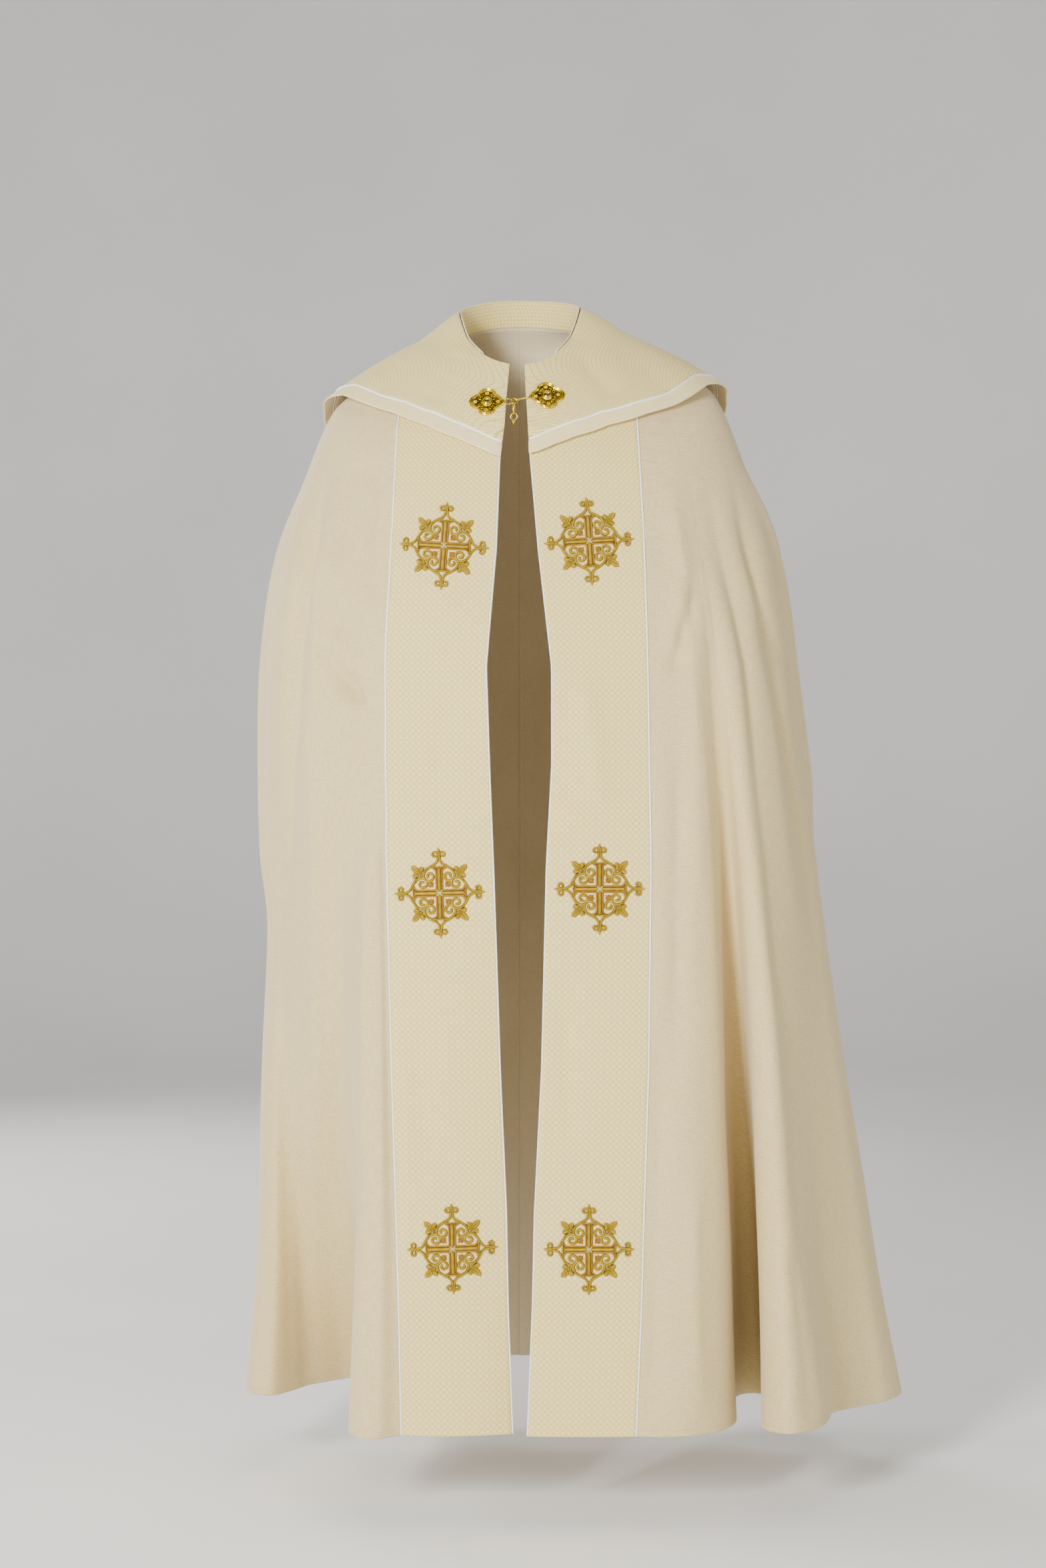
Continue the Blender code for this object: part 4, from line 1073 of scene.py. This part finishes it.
CAPE_ROW = int(np.argmax(CLOAK[:, LEFT_SEAM, 2] < -0.095))
SEAM_SECTION = half_round(SEAM_CORD_WIDTH, SEAM_CORD_HEIGHT - 0.0002, 0.0002)
EDGE_SECTION = half_round(EDGE_CORD_WIDTH, 0.0027, -0.0020)
for side, column in (("right", LEFT_SEAM), ("left", RIGHT_SEAM)):
    node = f"piping_{side}_seam"
    cord_on("seam_cord_" + side, node, column, CAPE_ROW, SEAM_SECTION, SEAM_CORD_WIDTH, 0.0)
for side, column, way in (("right", 0, -1), ("left", LAST, 1)):
    node = f"piping_{side}_edge"
    outside = way * EDGE_CORD_WIDTH / 2
    cord_on("edge_cord_" + side, node, column, 0, EDGE_SECTION, EDGE_CORD_WIDTH, outside)


# The shoulder cape
def cape_point(turn, share):
    """A point of the cloak under the cape; turn -1 is the left front edge, 1 the right."""
    side = "left" if turn < 0 else "right"
    from_front = 1 - abs(turn)
    degrees = 180 * from_front
    edge_ring = table_value(CAPE_EDGES, "angle", side + "_ring", degrees)
    ring = ring_at(share * edge_ring)
    start = angle_of(ring, side, front_distances(ring, side)[0])
    return ring_point(ring, side, mix(start, pi, from_front)), degrees


def cape_surface(turn, share):
    """The cape's outer face: the cloak's shape moved out, with its fold at the neck."""
    step = 0.004
    here, degrees = cape_point(turn, share)
    before, after = max(turn - step, -1), min(turn + step, 1)
    above, below = max(share - step, 0), min(share + step, 1)
    across = cape_point(after, share)[0] - cape_point(before, share)[0]
    down = cape_point(turn, below)[0] - cape_point(turn, above)[0]
    normal = across.cross(down).normalized()
    side = "left" if turn < 0 else "right"
    stand_off = table_value(CAPE_EDGES, "angle", side + "_off", degrees)
    rise = table_value(CAPE_EDGES, "angle", "neck_rise", degrees)
    lift = mix(CAPE_LIFT, stand_off, share**1.3)
    fold = rise * (1 - smooth_step(0, CAPE_FOLD_END, share))
    outward_way = Vector((here.x, here.y, 0)).normalized()
    return here + normal * lift + Vector((0, 0, fold)) + outward_way * (0.15 * fold)


def cape_grids():
    """The cape's damask, cord and band, measured up from the lower edge."""
    cord_top = CAPE_BAND_WIDTH + SEAM_GAP + CAPE_CORD_WIDTH
    damask_end = cord_top + SEAM_GAP
    columns = []
    heights = []
    depths = []
    for step in range(2 * CAPE_COLUMNS + 1):
        turn = step / CAPE_COLUMNS - 1
        shares = [mark / CAPE_MARKS for mark in range(CAPE_MARKS + 1)]
        fine = np.array([tuple(cape_surface(turn, share)) for share in shares])[::-1]
        run = np.concatenate([[0], np.linalg.norm(np.diff(fine, axis=0), axis=1).cumsum()])
        marks = [mix(run[-1], damask_end, (row / DAMASK_ROWS) ** 1.15) for row in range(DAMASK_ROWS + 1)]
        cord_end = CAPE_BAND_WIDTH + SEAM_GAP
        marks += [mix(cord_top, cord_end, row / CORD_ROWS) for row in range(CORD_ROWS + 1)]
        marks += [CAPE_BAND_WIDTH * (1 - row / BAND_ROWS) for row in range(BAND_ROWS + 1)]
        columns.append([[np.interp(mark, run, fine[:, axis]) for axis in range(3)] for mark in marks])
        heights.append(marks)
        depths.append(run[-1])
    grid = np.array(columns).transpose(1, 0, 2)
    normals = outward(grid)
    grid = grid + normals * crease_height(grid, normals, CAPE_CREASES, 1.0)[..., None]
    up = np.array(heights).T
    across = lengths_across(grid)
    across = across - across[:, [CAPE_COLUMNS]]
    neck_length = np.ptp(across[0])
    inner = neck_length * np.mean(depths) / (np.ptp(across[-1]) - neck_length)
    radius = inner + np.array(depths)[None] - up
    turned = across / radius
    cut = np.stack([radius * np.sin(turned), -radius * np.cos(turned)], axis=2)
    return grid, outward(grid), np.stack([across, up], axis=2), cut


CAPE, CAPE_NORMALS, CAPE_WEAVE, CAPE_CUT = cape_grids()
DAMASK_END = DAMASK_ROWS + 1
CORD_ROW = DAMASK_END + CORD_ROWS // 2
BAND_START = DAMASK_END + CORD_ROWS + 1
cape = shell("cape_cloth", CAPE[:DAMASK_END], CAPE_NORMALS[:DAMASK_END], CAPE_CUT[:DAMASK_END],
             (CAPE_DAMASK, LINING))
dress(cape, "cape")
band = shell("cape_edge_band", CAPE[BAND_START:], CAPE_NORMALS[BAND_START:], CAPE_WEAVE[BAND_START:],
             (BAND_SATIN, LINING), roll=0.6)
dress(band, "cape_band")
CAPE_SECTION = half_round(CAPE_CORD_WIDTH, 0.0032, -0.0019)
points, faces, weave = tube(CAPE[CORD_ROW], CAPE_NORMALS[CORD_ROW], CAPE_SECTION, 0.006)
cape_cord = joined("cape_cord", [(points, faces, weave, 0)], (CORD_SATIN,))
dress(cape_cord, "cape_piping")


# The stand behind the neck
def stand_grid():
    """The stand from its top, under the cape's fold, down to the neck edge."""
    ring = ring_at(0)
    rows = []
    for row in range(STAND_ROWS + 1):
        line = []
        for step in range(-STAND_COLUMNS, STAND_COLUMNS + 1):
            side = "left" if step < 0 else "right"
            degrees = mix(180, STAND_START, abs(step) / STAND_COLUMNS)
            point = ring_point(ring, side, radians(degrees))
            away = Vector((point.x, point.y, 0)).normalized()
            foot = point - away * 0.0004 + Vector((0, 0, 0.0004))
            turn = (1 - degrees / 180) * (-1 if step < 0 else 1)
            top = cape_surface(turn, 0) - away * 0.0021 + Vector((0, 0, 0.0004))
            share = 1 - row / STAND_ROWS
            line.append(tuple(foot.lerp(top, share) - away * (0.0012 * sin(pi * share))))
        rows.append(line)
    return np.array(rows)


STAND = stand_grid()
stand_weave = np.stack([lengths_across(STAND), lengths_up(STAND)], axis=2)
stand = shell("stand_cloth", STAND, outward(STAND), stand_weave, (LINING, CAPE_DAMASK), wall=0.0018)
dress(stand, "collar_stand")


# The embroidered medallions
class Ground:
    """The orphrey's face seen from the front, to lay embroidery on."""

    def __init__(self, first, last):
        part = CLOAK[:, first : last + 1]
        rows, columns = part.shape[:2]
        self.tree = BVHTree.FromPolygons(
            [Vector(point) for point in part.reshape(-1, 3)], grid_faces(rows, columns, 0, False)
        )

    def depth(self, x, z):
        """How far back the cloth lies at a place seen from the front."""
        hit = self.tree.ray_cast(Vector((x, -1.0, z)), Vector((0, 1, 0)))[0]
        return hit.y if hit else -0.2

    def at(self, x, z):
        """A point of the cloth and its normal."""
        reach = 0.002
        here = Vector((x, self.depth(x, z), z))
        across = Vector((2 * reach, self.depth(x + reach, z) - self.depth(x - reach, z), 0))
        up = Vector((0, self.depth(x, z + reach) - self.depth(x, z - reach), 2 * reach))
        normal = across.cross(up).normalized()
        return here, normal


def smooth_path(points, step=0.0008):
    """A Catmull-Rom line through (across, up, width) points, evenly spaced."""
    line = curved_line(points, 12)
    run = np.concatenate([[0], np.linalg.norm(np.diff(line[:, :2], axis=0), axis=1).cumsum()])
    count = max(int(run[-1] / (step * 1000)), 3)
    marks = np.linspace(0, run[-1], count + 1)
    return np.stack([np.interp(marks, run, line[:, axis]) for axis in range(3)], axis=1)


def spiral(centre, first_turn, last_turn, first_radius, last_radius, width, count):
    """Points of a scroll round a centre, as (across, up, width) in millimetres; turns in degrees."""
    points = []
    for step in range(count + 1):
        share = step / count
        turn = radians(mix(first_turn, last_turn, share))
        radius = mix(first_radius, last_radius, share)
        points.append((centre[0] + radius * cos(turn), centre[1] + radius * sin(turn), width))
    return points


# How much wider the laid cords are made than the widths below
CORD_FULLNESS = 1.18

# One quarter of the frame in millimetres, its tip pointing up: (across, up, width)
TIP_CURL = spiral((5.2, 48.8), -150, 160, 1.4, 3.9, 2.7, 9)
STEM = ((1.4, 46.0, 2.8), (1.7, 41.5, 2.9), (5.0, 37.0, 3.0), (11.8, 33.2, 3.1), (16.8, 29.6, 3.2))
VOLUTE = spiral((12.2, 21.6), 38, -415, 8.0, 1.5, 3.1, 15)
STRAND = (*TIP_CURL, *STEM, *VOLUTE)
SPIKE = ((0.0, 45.0, 1.4), (0.0, 49.0, 2.4), (0.0, 52.6, 3.8), (0.0, 55.0, 2.6), (0.0, 58.2, 0.6))
BEAD = ((22.6, 22.6, 2.6), (23.6, 23.6, 3.9), (24.8, 24.8, 3.7), (25.6, 25.6, 2.2))
LEAF_HALF = (
    (25.2, 26.0, 1.8), (27.0, 29.0, 3.4), (29.6, 31.8, 4.0), (32.6, 34.0, 3.4), (33.8, 34.5, 2.2),
    (35.6, 35.6, 0.6),
)
SIDE_LEAF = (
    (23.6, 25.6, 2.2), (22.8, 28.4, 4.4), (21.6, 31.2, 5.0), (20.6, 32.6, 3.6), (20.0, 33.8, 0.8),
)
SIDE_VEIN = ((25.0, 26.4, 1.4), (25.2, 29.0, 2.8), (24.2, 31.6, 2.4), (22.4, 34.2, 0.6))
SPRIG_LOBES = (
    ((7.6, 7.6, 1.2), (9.2, 9.2, 1.8), (11.6, 11.6, 3.0), (13.4, 13.4, 2.4), (14.8, 14.8, 0.6)),
    ((9.0, 9.4, 1.2), (8.6, 11.2, 2.4), (8.8, 13.0, 2.2), (10.0, 14.2, 0.8)),
    ((9.4, 9.0, 1.2), (11.2, 8.6, 2.4), (13.0, 8.8, 2.2), (14.2, 10.0, 0.8)),
)


def mirrored(points):
    """The same path on the other side of the tip."""
    return [(-across, up, width) for across, up, width in points]


def swapped(points):
    """The same path on the other side of the diagonal."""
    return [(up, across, width) for across, up, width in points]


def quarter_cords():
    """Each cord of one quarter, with its height and whether it is the dull thread."""
    cords = [(STRAND, 0.0024, 0), (mirrored(STRAND), 0.0024, 0), (SPIKE, 0.0021, 0), (BEAD, 0.0027, 2)]
    cords += [(LEAF_HALF, 0.0023, 0), (swapped(LEAF_HALF), 0.0023, 0)]
    cords += [(SIDE_LEAF, 0.0021, 0), (swapped(SIDE_LEAF), 0.0021, 0)]
    cords += [(SIDE_VEIN, 0.0017, 0), (swapped(SIDE_VEIN), 0.0017, 0)]
    cords += [(lobe, 0.0012, 1) for lobe in SPRIG_LOBES]
    return cords


def laid_cord(path, place, base, rise):
    """A raised cord on the cloth; path rows are (across, up, width) in metres."""
    points = []
    for index, (across, up, width) in enumerate(path):
        before = path[max(index - 1, 0)]
        after = path[min(index + 1, len(path) - 1)]
        way = np.array([after[0] - before[0], after[1] - before[1]])
        way /= max(np.linalg.norm(way), 1e-9)
        for offset, lift in half_round(width, rise * min(width / 0.003, 1.0) ** 0.6, base):
            points.append(place(across + way[1] * offset, up - way[0] * offset, lift))
    # The across coordinate runs 0 to 4 mm, so the thread's painted edge shade darkens both feet
    return points, round_faces(len(path), 9, turned=True), cord_weave(path[:, :2], 9, 0.004)


def turned_path(points, quarter):
    """A millimetre path turned by quarters and scaled to metres."""
    path = smooth_path(points)
    angle = radians(90 * quarter)
    across = path[:, 0] * cos(angle) + path[:, 1] * sin(angle)
    up = -path[:, 0] * sin(angle) + path[:, 1] * cos(angle)
    return np.stack([across, up, path[:, 2] * CORD_FULLNESS], axis=1) / 1000


# One arm of the cross in millimetres: distance from the middle and half width. Its section has
# the share of that width, the lift, and the cloth's own coordinate in metres, which puts the
# thread's painted edge shade at the feet of the padding.
ARM_ROWS = ((0.0, 4.9), (6.0, 4.9), (12.0, 4.9), (18.0, 4.9), (24.0, 4.9), (28.2, 5.0), (30.0, 6.6),
            (31.3, 9.0), (31.7, 9.7), (34.0, 9.7))
ARM_SECTION = (
    (-1.0, 0.3, 0.0000), (-1.0, 1.5, 0.0006), (-0.90, 1.9, 0.0014), (-0.66, 1.9, 0.0026),
    (-0.54, 1.4, 0.0040), (0.54, 1.4, 0.0000), (0.66, 1.9, 0.0014), (0.90, 1.9, 0.0026),
    (1.0, 1.5, 0.0034), (1.0, 0.3, 0.0040),
)
BAR_ROWS = ((0.0, 2.0), (0.6, 2.4), (3.0, 2.5), (29.0, 2.5), (30.6, 2.3), (31.2, 1.2))
FLARE = ((-9.3, 33.2), (-4.0, 33.4), (0.0, 33.4), (4.0, 33.4), (9.3, 33.2))
THREAD_STEP = 0.0005


def divided(rows, parts):
    """Rows of numbers with more rows between them."""
    finer = []
    for near, far in zip(rows, rows[1:]):
        finer += [tuple(mix(a, b, part / parts) for a, b in zip(near, far)) for part in range(parts)]
    return [*finer, rows[-1]]


def cross_parts(place):
    """The cross: a padded edge all round and a bright bar along each arm."""
    parts = []
    for quarter in range(4):
        angle = radians(90 * quarter)

        def spot(side, out, lift):
            across = side * cos(angle) + out * sin(angle)
            up = -side * sin(angle) + out * cos(angle)
            return place(across / 1000, up / 1000, lift / 1000)

        arm = []
        for out, half in divided(ARM_ROWS, 3):
            for share, lift, cloth in ARM_SECTION:
                arm.append((spot(share * half, out, lift), (cloth, out / 1000)))
        bar = []
        for out, half in divided(BAR_ROWS, 8):
            for index, (side, lift) in enumerate(half_round(2 * half, 1.7, 1.2)):
                bar.append((spot(side, out, lift), (index * THREAD_STEP, out / 1000)))
        flare = []
        for side, out in FLARE:
            for index, (beside, lift) in enumerate(half_round(1.9, 1.2, 1.5)):
                flare.append((spot(side, out + beside, lift), (index * THREAD_STEP, side / 1000)))
        for strip, columns, finish in ((arm, len(ARM_SECTION), 1), (bar, 9, 0), (flare, 9, 0)):
            points, weave = zip(*strip)
            faces = grid_faces(len(strip) // columns, columns, 0, strip is not flare)
            if strip is not flare:
                faces.append(tuple(range(len(strip) - columns, len(strip))))
            parts.append((points, faces, weave, finish))
    for side in (-1, 1):
        path = smooth_path([(-3.4, -3.4 * side, 1.1), (3.4, 3.4 * side, 1.1)]) / 1000
        parts.append((*laid_cord(path, place, 0.0026, 0.0006), 2))
    return parts


GROUNDS = {"left": Ground(0, LEFT_SEAM), "right": Ground(RIGHT_SEAM, LAST)}
QUARTER = quarter_cords()
SEWN_ON = {"left": [], "right": []}
for medallion in MEDALLIONS:
    lean = radians(-medallion.lean)
    ground = GROUNDS[medallion.side]

    def placed(across, up, lift):
        x = medallion.x + across * cos(lean) - up * sin(lean)
        z = medallion.z + across * sin(lean) + up * cos(lean)
        point, normal = ground.at(x, z)
        return tuple(point + normal * lift)

    parts = []
    for quarter in range(4):
        for cord, rise, finish in QUARTER:
            points, faces, weave = laid_cord(turned_path(cord, quarter), placed, 0.0002, rise)
            parts.append((points, faces, weave, finish))
    scroll = joined(medallion.name.replace("medallion", "scrollwork"), parts,
                    (GOLD_BRIGHT, GOLD_ORANGE, GOLD_BRIGHT))
    cross = joined(medallion.name.replace("medallion", "cross"), cross_parts(placed),
                   (GOLD_BRIGHT, GOLD_ORANGE, STITCH_WHITE))
    for item, node in ((scroll, "_frame"), (cross, "_cross")):
        dress(item, medallion.name + node)
        SEWN_ON[medallion.side].append(item)


# The clasp's discs
def disc_plane(node):
    """A disc's base point and its directions across, up and out, from its CAD solid."""
    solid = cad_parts[node]
    points = np.array([tuple(solid.matrix_world @ vertex.co) for vertex in solid.data.vertices])
    middle = points.mean(0)
    _, _, axes = np.linalg.svd(points - middle)
    normal = axes[2] if axes[2][1] < 0 else -axes[2]
    lowest = ((points - middle) @ normal).min()
    normal = Vector(normal)
    up = normal.cross(Vector((1, 0, 0)))
    up = (up if up.z > 0 else -up).normalized()
    across = up.cross(normal).normalized()
    across = across if across.x > 0 else -across
    rim = (points - middle) @ np.array(normal) < lowest + 0.0004
    centre = points[rim].min(0) / 2 + points[rim].max(0) / 2
    centre = Vector(centre)
    centre += normal * (lowest - (np.array(centre) - middle) @ np.array(normal))
    return centre, across, up, normal


def disc_radius(degrees):
    """A disc's outline, the same above and below its long axis."""
    degrees = degrees % 360
    if degrees > 180:
        degrees = 360 - degrees
    angles = [row[0] for row in DISC_OUTLINE]
    return float(np.interp(degrees, angles, [row[1] for row in DISC_OUTLINE]))


# The steps of a disc: a share of its outline and the height there, which of these bands are
# hollows (given darker metal, a painted shade), and the radius and height round the stone
DISC_RIM = (
    (0.955, 0.0), (0.990, 0.0005), (1.000, 0.0012), (0.985, 0.0019), (0.955, 0.0024),
    (0.920, 0.0023), (0.895, 0.0018), (0.875, 0.0016), (0.855, 0.0019), (0.830, 0.0022),
    (0.800, 0.0021), (0.780, 0.0016), (0.760, 0.0013), (0.500, 0.0013),
)
DISC_HOLLOWS = (6, 7, 11, 12, 13)
DISC_MIDDLE = (
    (0.0078, 0.0013), (0.0074, 0.0022), (0.0067, 0.0030), (0.0058, 0.0031), (0.0052, 0.0026),
    (0.0046, 0.0026), (0.0040, 0.0033), (0.0032, 0.0038), (0.0026, 0.0036), (0.0023, 0.0032),
)


def ball(centre, radius, squash, spot, rings=6, sides=10):
    """A small domed bead at a disc position; centre is (across, up, out)."""
    points = []
    for ring in range(rings + 1):
        tilt = pi / 2 * ring / rings
        for side in range(sides):
            turn = 2 * pi * side / sides
            points.append(spot(
                centre[0] + radius * cos(tilt) * cos(turn),
                centre[1] + radius * cos(tilt) * sin(turn),
                centre[2] + radius * sin(tilt) * squash,
            ))
    return points, round_faces(rings + 1, sides, turned=True, capped=False), [(0, 0)] * len(points)


def curl(points, width, rise, base, spot):
    """A raised metal line on a disc; points are (across, up) in metres."""
    path = smooth_path([(x * 1000, y * 1000, width * 1000) for x, y in points], 0.0004) / 1000
    return laid_cord(path, spot, base, rise)


DISC_SIDES = 120
EDGE_BEADS = 44
RING_BEADS = 16
FLOWER_REACH = (0.0150, 0.0132, 0.0148, 0.0132)
PETALS = 6
CURL_REACH = 0.0106
CURL_STEPS = 11


def on_disc(radius, turn, out, middle=(0.0, 0.0)):
    """A disc position at a radius and a turn round a middle point."""
    return middle[0] + radius * cos(turn), middle[1] + radius * sin(turn), out


def plate_parts(spot):
    """A disc's stepped plate, with its hollows in their own darker finish, a painted shade."""
    points = []
    for scale, out in DISC_RIM:
        for side in range(DISC_SIDES):
            degrees = 360 * side / DISC_SIDES
            points.append(spot(*on_disc(disc_radius(degrees) * scale, radians(degrees), out)))
    for radius, out in DISC_MIDDLE:
        for side in range(DISC_SIDES):
            points.append(spot(*on_disc(radius, radians(360 * side / DISC_SIDES), out)))
    quads = round_faces(len(DISC_RIM) + len(DISC_MIDDLE), DISC_SIDES, turned=True)
    faces = {True: [], False: []}
    for index, quad in enumerate(quads):
        faces[index // DISC_SIDES in DISC_HOLLOWS].append(quad)
    plain = [(0, 0)] * len(points)
    return [(points, faces[False], plain, 0), (points, faces[True], plain, 2)]


def ornament_parts(spot):
    """A disc's stone, beads, flowers and curls."""
    parts = [(*ball((0, 0, 0.0030), 0.0024, 0.55, spot, 6, 16), 1)]
    for step in range(EDGE_BEADS):
        degrees = 360 * step / EDGE_BEADS
        bead = on_disc(disc_radius(degrees) * 0.872, radians(degrees), 0.0017)
        parts.append((*ball(bead, 0.00062, 0.9, spot, 3, 8), 0))
    for step in range(RING_BEADS):
        bead = on_disc(0.0049, radians(360 * step / RING_BEADS), 0.0026)
        parts.append((*ball(bead, 0.00055, 0.9, spot, 3, 8), 0))
    for lobe, reach in enumerate(FLOWER_REACH):
        middle = radians(90 * lobe)
        flower = on_disc(reach, middle, 0.0013)
        parts.append((*ball(flower, 0.00105, 1.3, spot, 4, 10), 0))
        for petal in range(PETALS):
            bead = on_disc(0.0019, middle + radians(60 * petal), 0.0013, flower)
            parts.append((*ball(bead, 0.00112, 0.8, spot, 3, 9), 0))
        between = middle + radians(45)
        for hand in (-1, 1):
            centre = on_disc(CURL_REACH, between + hand * 0.20, 0)
            swirl = []
            for step in range(CURL_STEPS + 1):
                share = step / CURL_STEPS
                turned = between + hand * radians(150 - 330 * share)
                swirl.append(on_disc(mix(0.0027, 0.0007, share), turned, 0, centre)[:2])
            parts.append((*curl(swirl, 0.0009, 0.0008, 0.0012, spot), 0))
    return parts


for node, turn in DISCS:
    centre, across, up, normal = disc_plane(node)
    angle = radians(turn)
    right = across * cos(angle) + up * sin(angle)
    top = up * cos(angle) - across * sin(angle)
    centre = centre - right * ((disc_radius(0) - disc_radius(180)) / 2)

    def disc_spot(side, height, out):
        return tuple(centre + right * side + top * height + normal * out)

    parts = plate_parts(disc_spot) + ornament_parts(disc_spot)
    item = joined(node.replace("clasp", "ornament"), parts, (GOLD_METAL, STONE, GOLD_HOLLOW_SHADE))
    dress(item, node)


# The chain and the hook
def wire(centres, radius, closed, sides=14):
    """A round wire along points."""
    if closed:
        run = np.roll(centres, -1, axis=0) - np.roll(centres, 1, axis=0)
    else:
        run = np.gradient(centres, axis=0)
    run /= np.linalg.norm(run, axis=1, keepdims=True)
    _, _, axes = np.linalg.svd(centres - centres.mean(0))
    side_way = np.cross(run, axes[2])
    side_way /= np.linalg.norm(side_way, axis=1, keepdims=True)
    other = np.cross(run, side_way)
    turns = np.arange(sides) * 2 * pi / sides
    reach = side_way[:, None] * np.cos(turns)[:, None] + other[:, None] * np.sin(turns)[:, None]
    points = (centres[:, None] + reach * radius).reshape(-1, 3)
    faces = round_faces(len(centres), sides, capped=not closed, looped=closed)
    return points, faces, [(0, 0)] * len(points)


for link in CHAIN:
    stance = Matrix.Rotation(radians(link.turn), 3, "Z") @ Matrix.Rotation(radians(link.lean), 3, "X")
    centres = []
    for step in range(LINK_STEPS):
        turn = 2 * pi * step / LINK_STEPS
        spot = stance @ Vector((link.width * cos(turn), 0, link.length * sin(turn)))
        centres.append(spot + Vector((link.x, link.y, link.z)))
    ring = wire(np.array(centres), CHAIN_WIRE, True)
    item = joined(link.name.replace("chain", "ring"), [(*ring, 0)], (GOLD_METAL,))
    dress(item, link.name, CHAIN_BODY.get(link.name, "cope"))

hook = wire(curved_line(HOOK, 8), HOOK_RADIUS, False)
dress(joined("hook_wire", [(*hook, 0)], (GOLD_METAL,)), "clasp_hook")

# The studio: a pale floor that curves up all round, soft lights and the camera
# The floor's radius and rise, from the middle out
BOWL = ((2.0, 0.0), (5.0, 0.0), (6.5, 0.0), (7.2, 0.12), (7.8, 0.5), (8.2, 1.2), (8.4, 2.2), (8.4, 6.0))
BOWL_SIDES = 64
bowl_points = [(0.0, 0.0, FLOOR_Z)]
for radius, rise in BOWL:
    for step in range(BOWL_SIDES):
        turn = 2 * pi * step / BOWL_SIDES
        bowl_points.append((radius * cos(turn), radius * sin(turn), FLOOR_Z + rise))
bowl_faces = [(0, 1 + step, 1 + (step + 1) % BOWL_SIDES) for step in range(BOWL_SIDES)]
for quad in round_faces(len(BOWL), BOWL_SIDES, capped=False):
    bowl_faces.append(tuple(1 + corner for corner in quad))
new_object("studio_bowl", bowl_points, bowl_faces, (FLOOR,))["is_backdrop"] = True


def area_light(name, place, target, width, height, power, colour):
    """A soft light aimed at a point; it doesn't show itself."""
    light = bpy.data.lights.new(name, "AREA")
    light.shape = "RECTANGLE"
    light.size = width
    light.size_y = height
    light.energy = power
    light.color = colour
    item = bpy.data.objects.new(name, light)
    item.location = place
    item.rotation_euler = (Vector(target) - Vector(place)).to_track_quat("-Z", "Y").to_euler()
    item.visible_camera = False
    bpy.context.scene.collection.objects.link(item)


area_light("key", (-1.6, -4.0, 0.3), (0, 0, -0.9), 0.8, 1.4, 300, (1.0, 0.985, 0.95))
area_light("fill", (3.4, -2.4, -0.6), (0, 0, -0.9), 1.2, 1.4, 52, (1.0, 0.97, 0.91))
area_light("top", (0.2, 0.3, 3.2), (0, 0, -0.4), 2.2, 2.2, 40, (1.0, 1.0, 1.0))
area_light("rim", (-3.6, 0.6, 0.2), (0, 0, -0.8), 1.0, 1.8, 55, (1.0, 0.99, 0.97))
area_light("back", (-2.2, 3.9, 0.9), (0, 0, -0.7), 1.4, 1.6, 90, (1.0, 0.99, 0.98))

world = bpy.data.worlds.new("studio_air")
world.use_nodes = True
world.node_tree.nodes["Background"].inputs[0].default_value = (0.93, 0.94, 0.95, 1)
world.node_tree.nodes["Background"].inputs[1].default_value = 0.18
bpy.context.scene.world = world

lens = bpy.data.cameras.new("camera")
lens.lens = 72.3
lens.sensor_width = 36
lens.clip_end = 60
camera = bpy.data.objects.new("camera", lens)
camera.location = (0.005, -4.25, -0.605)
camera.rotation_euler = (radians(90), 0, 0)
bpy.context.scene.collection.objects.link(camera)
bpy.context.scene.camera = camera

boxes = {"cad": CAD_BOX, "visual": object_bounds()}
{name: [list(corner) for corner in box] for name, box in boxes.items()}
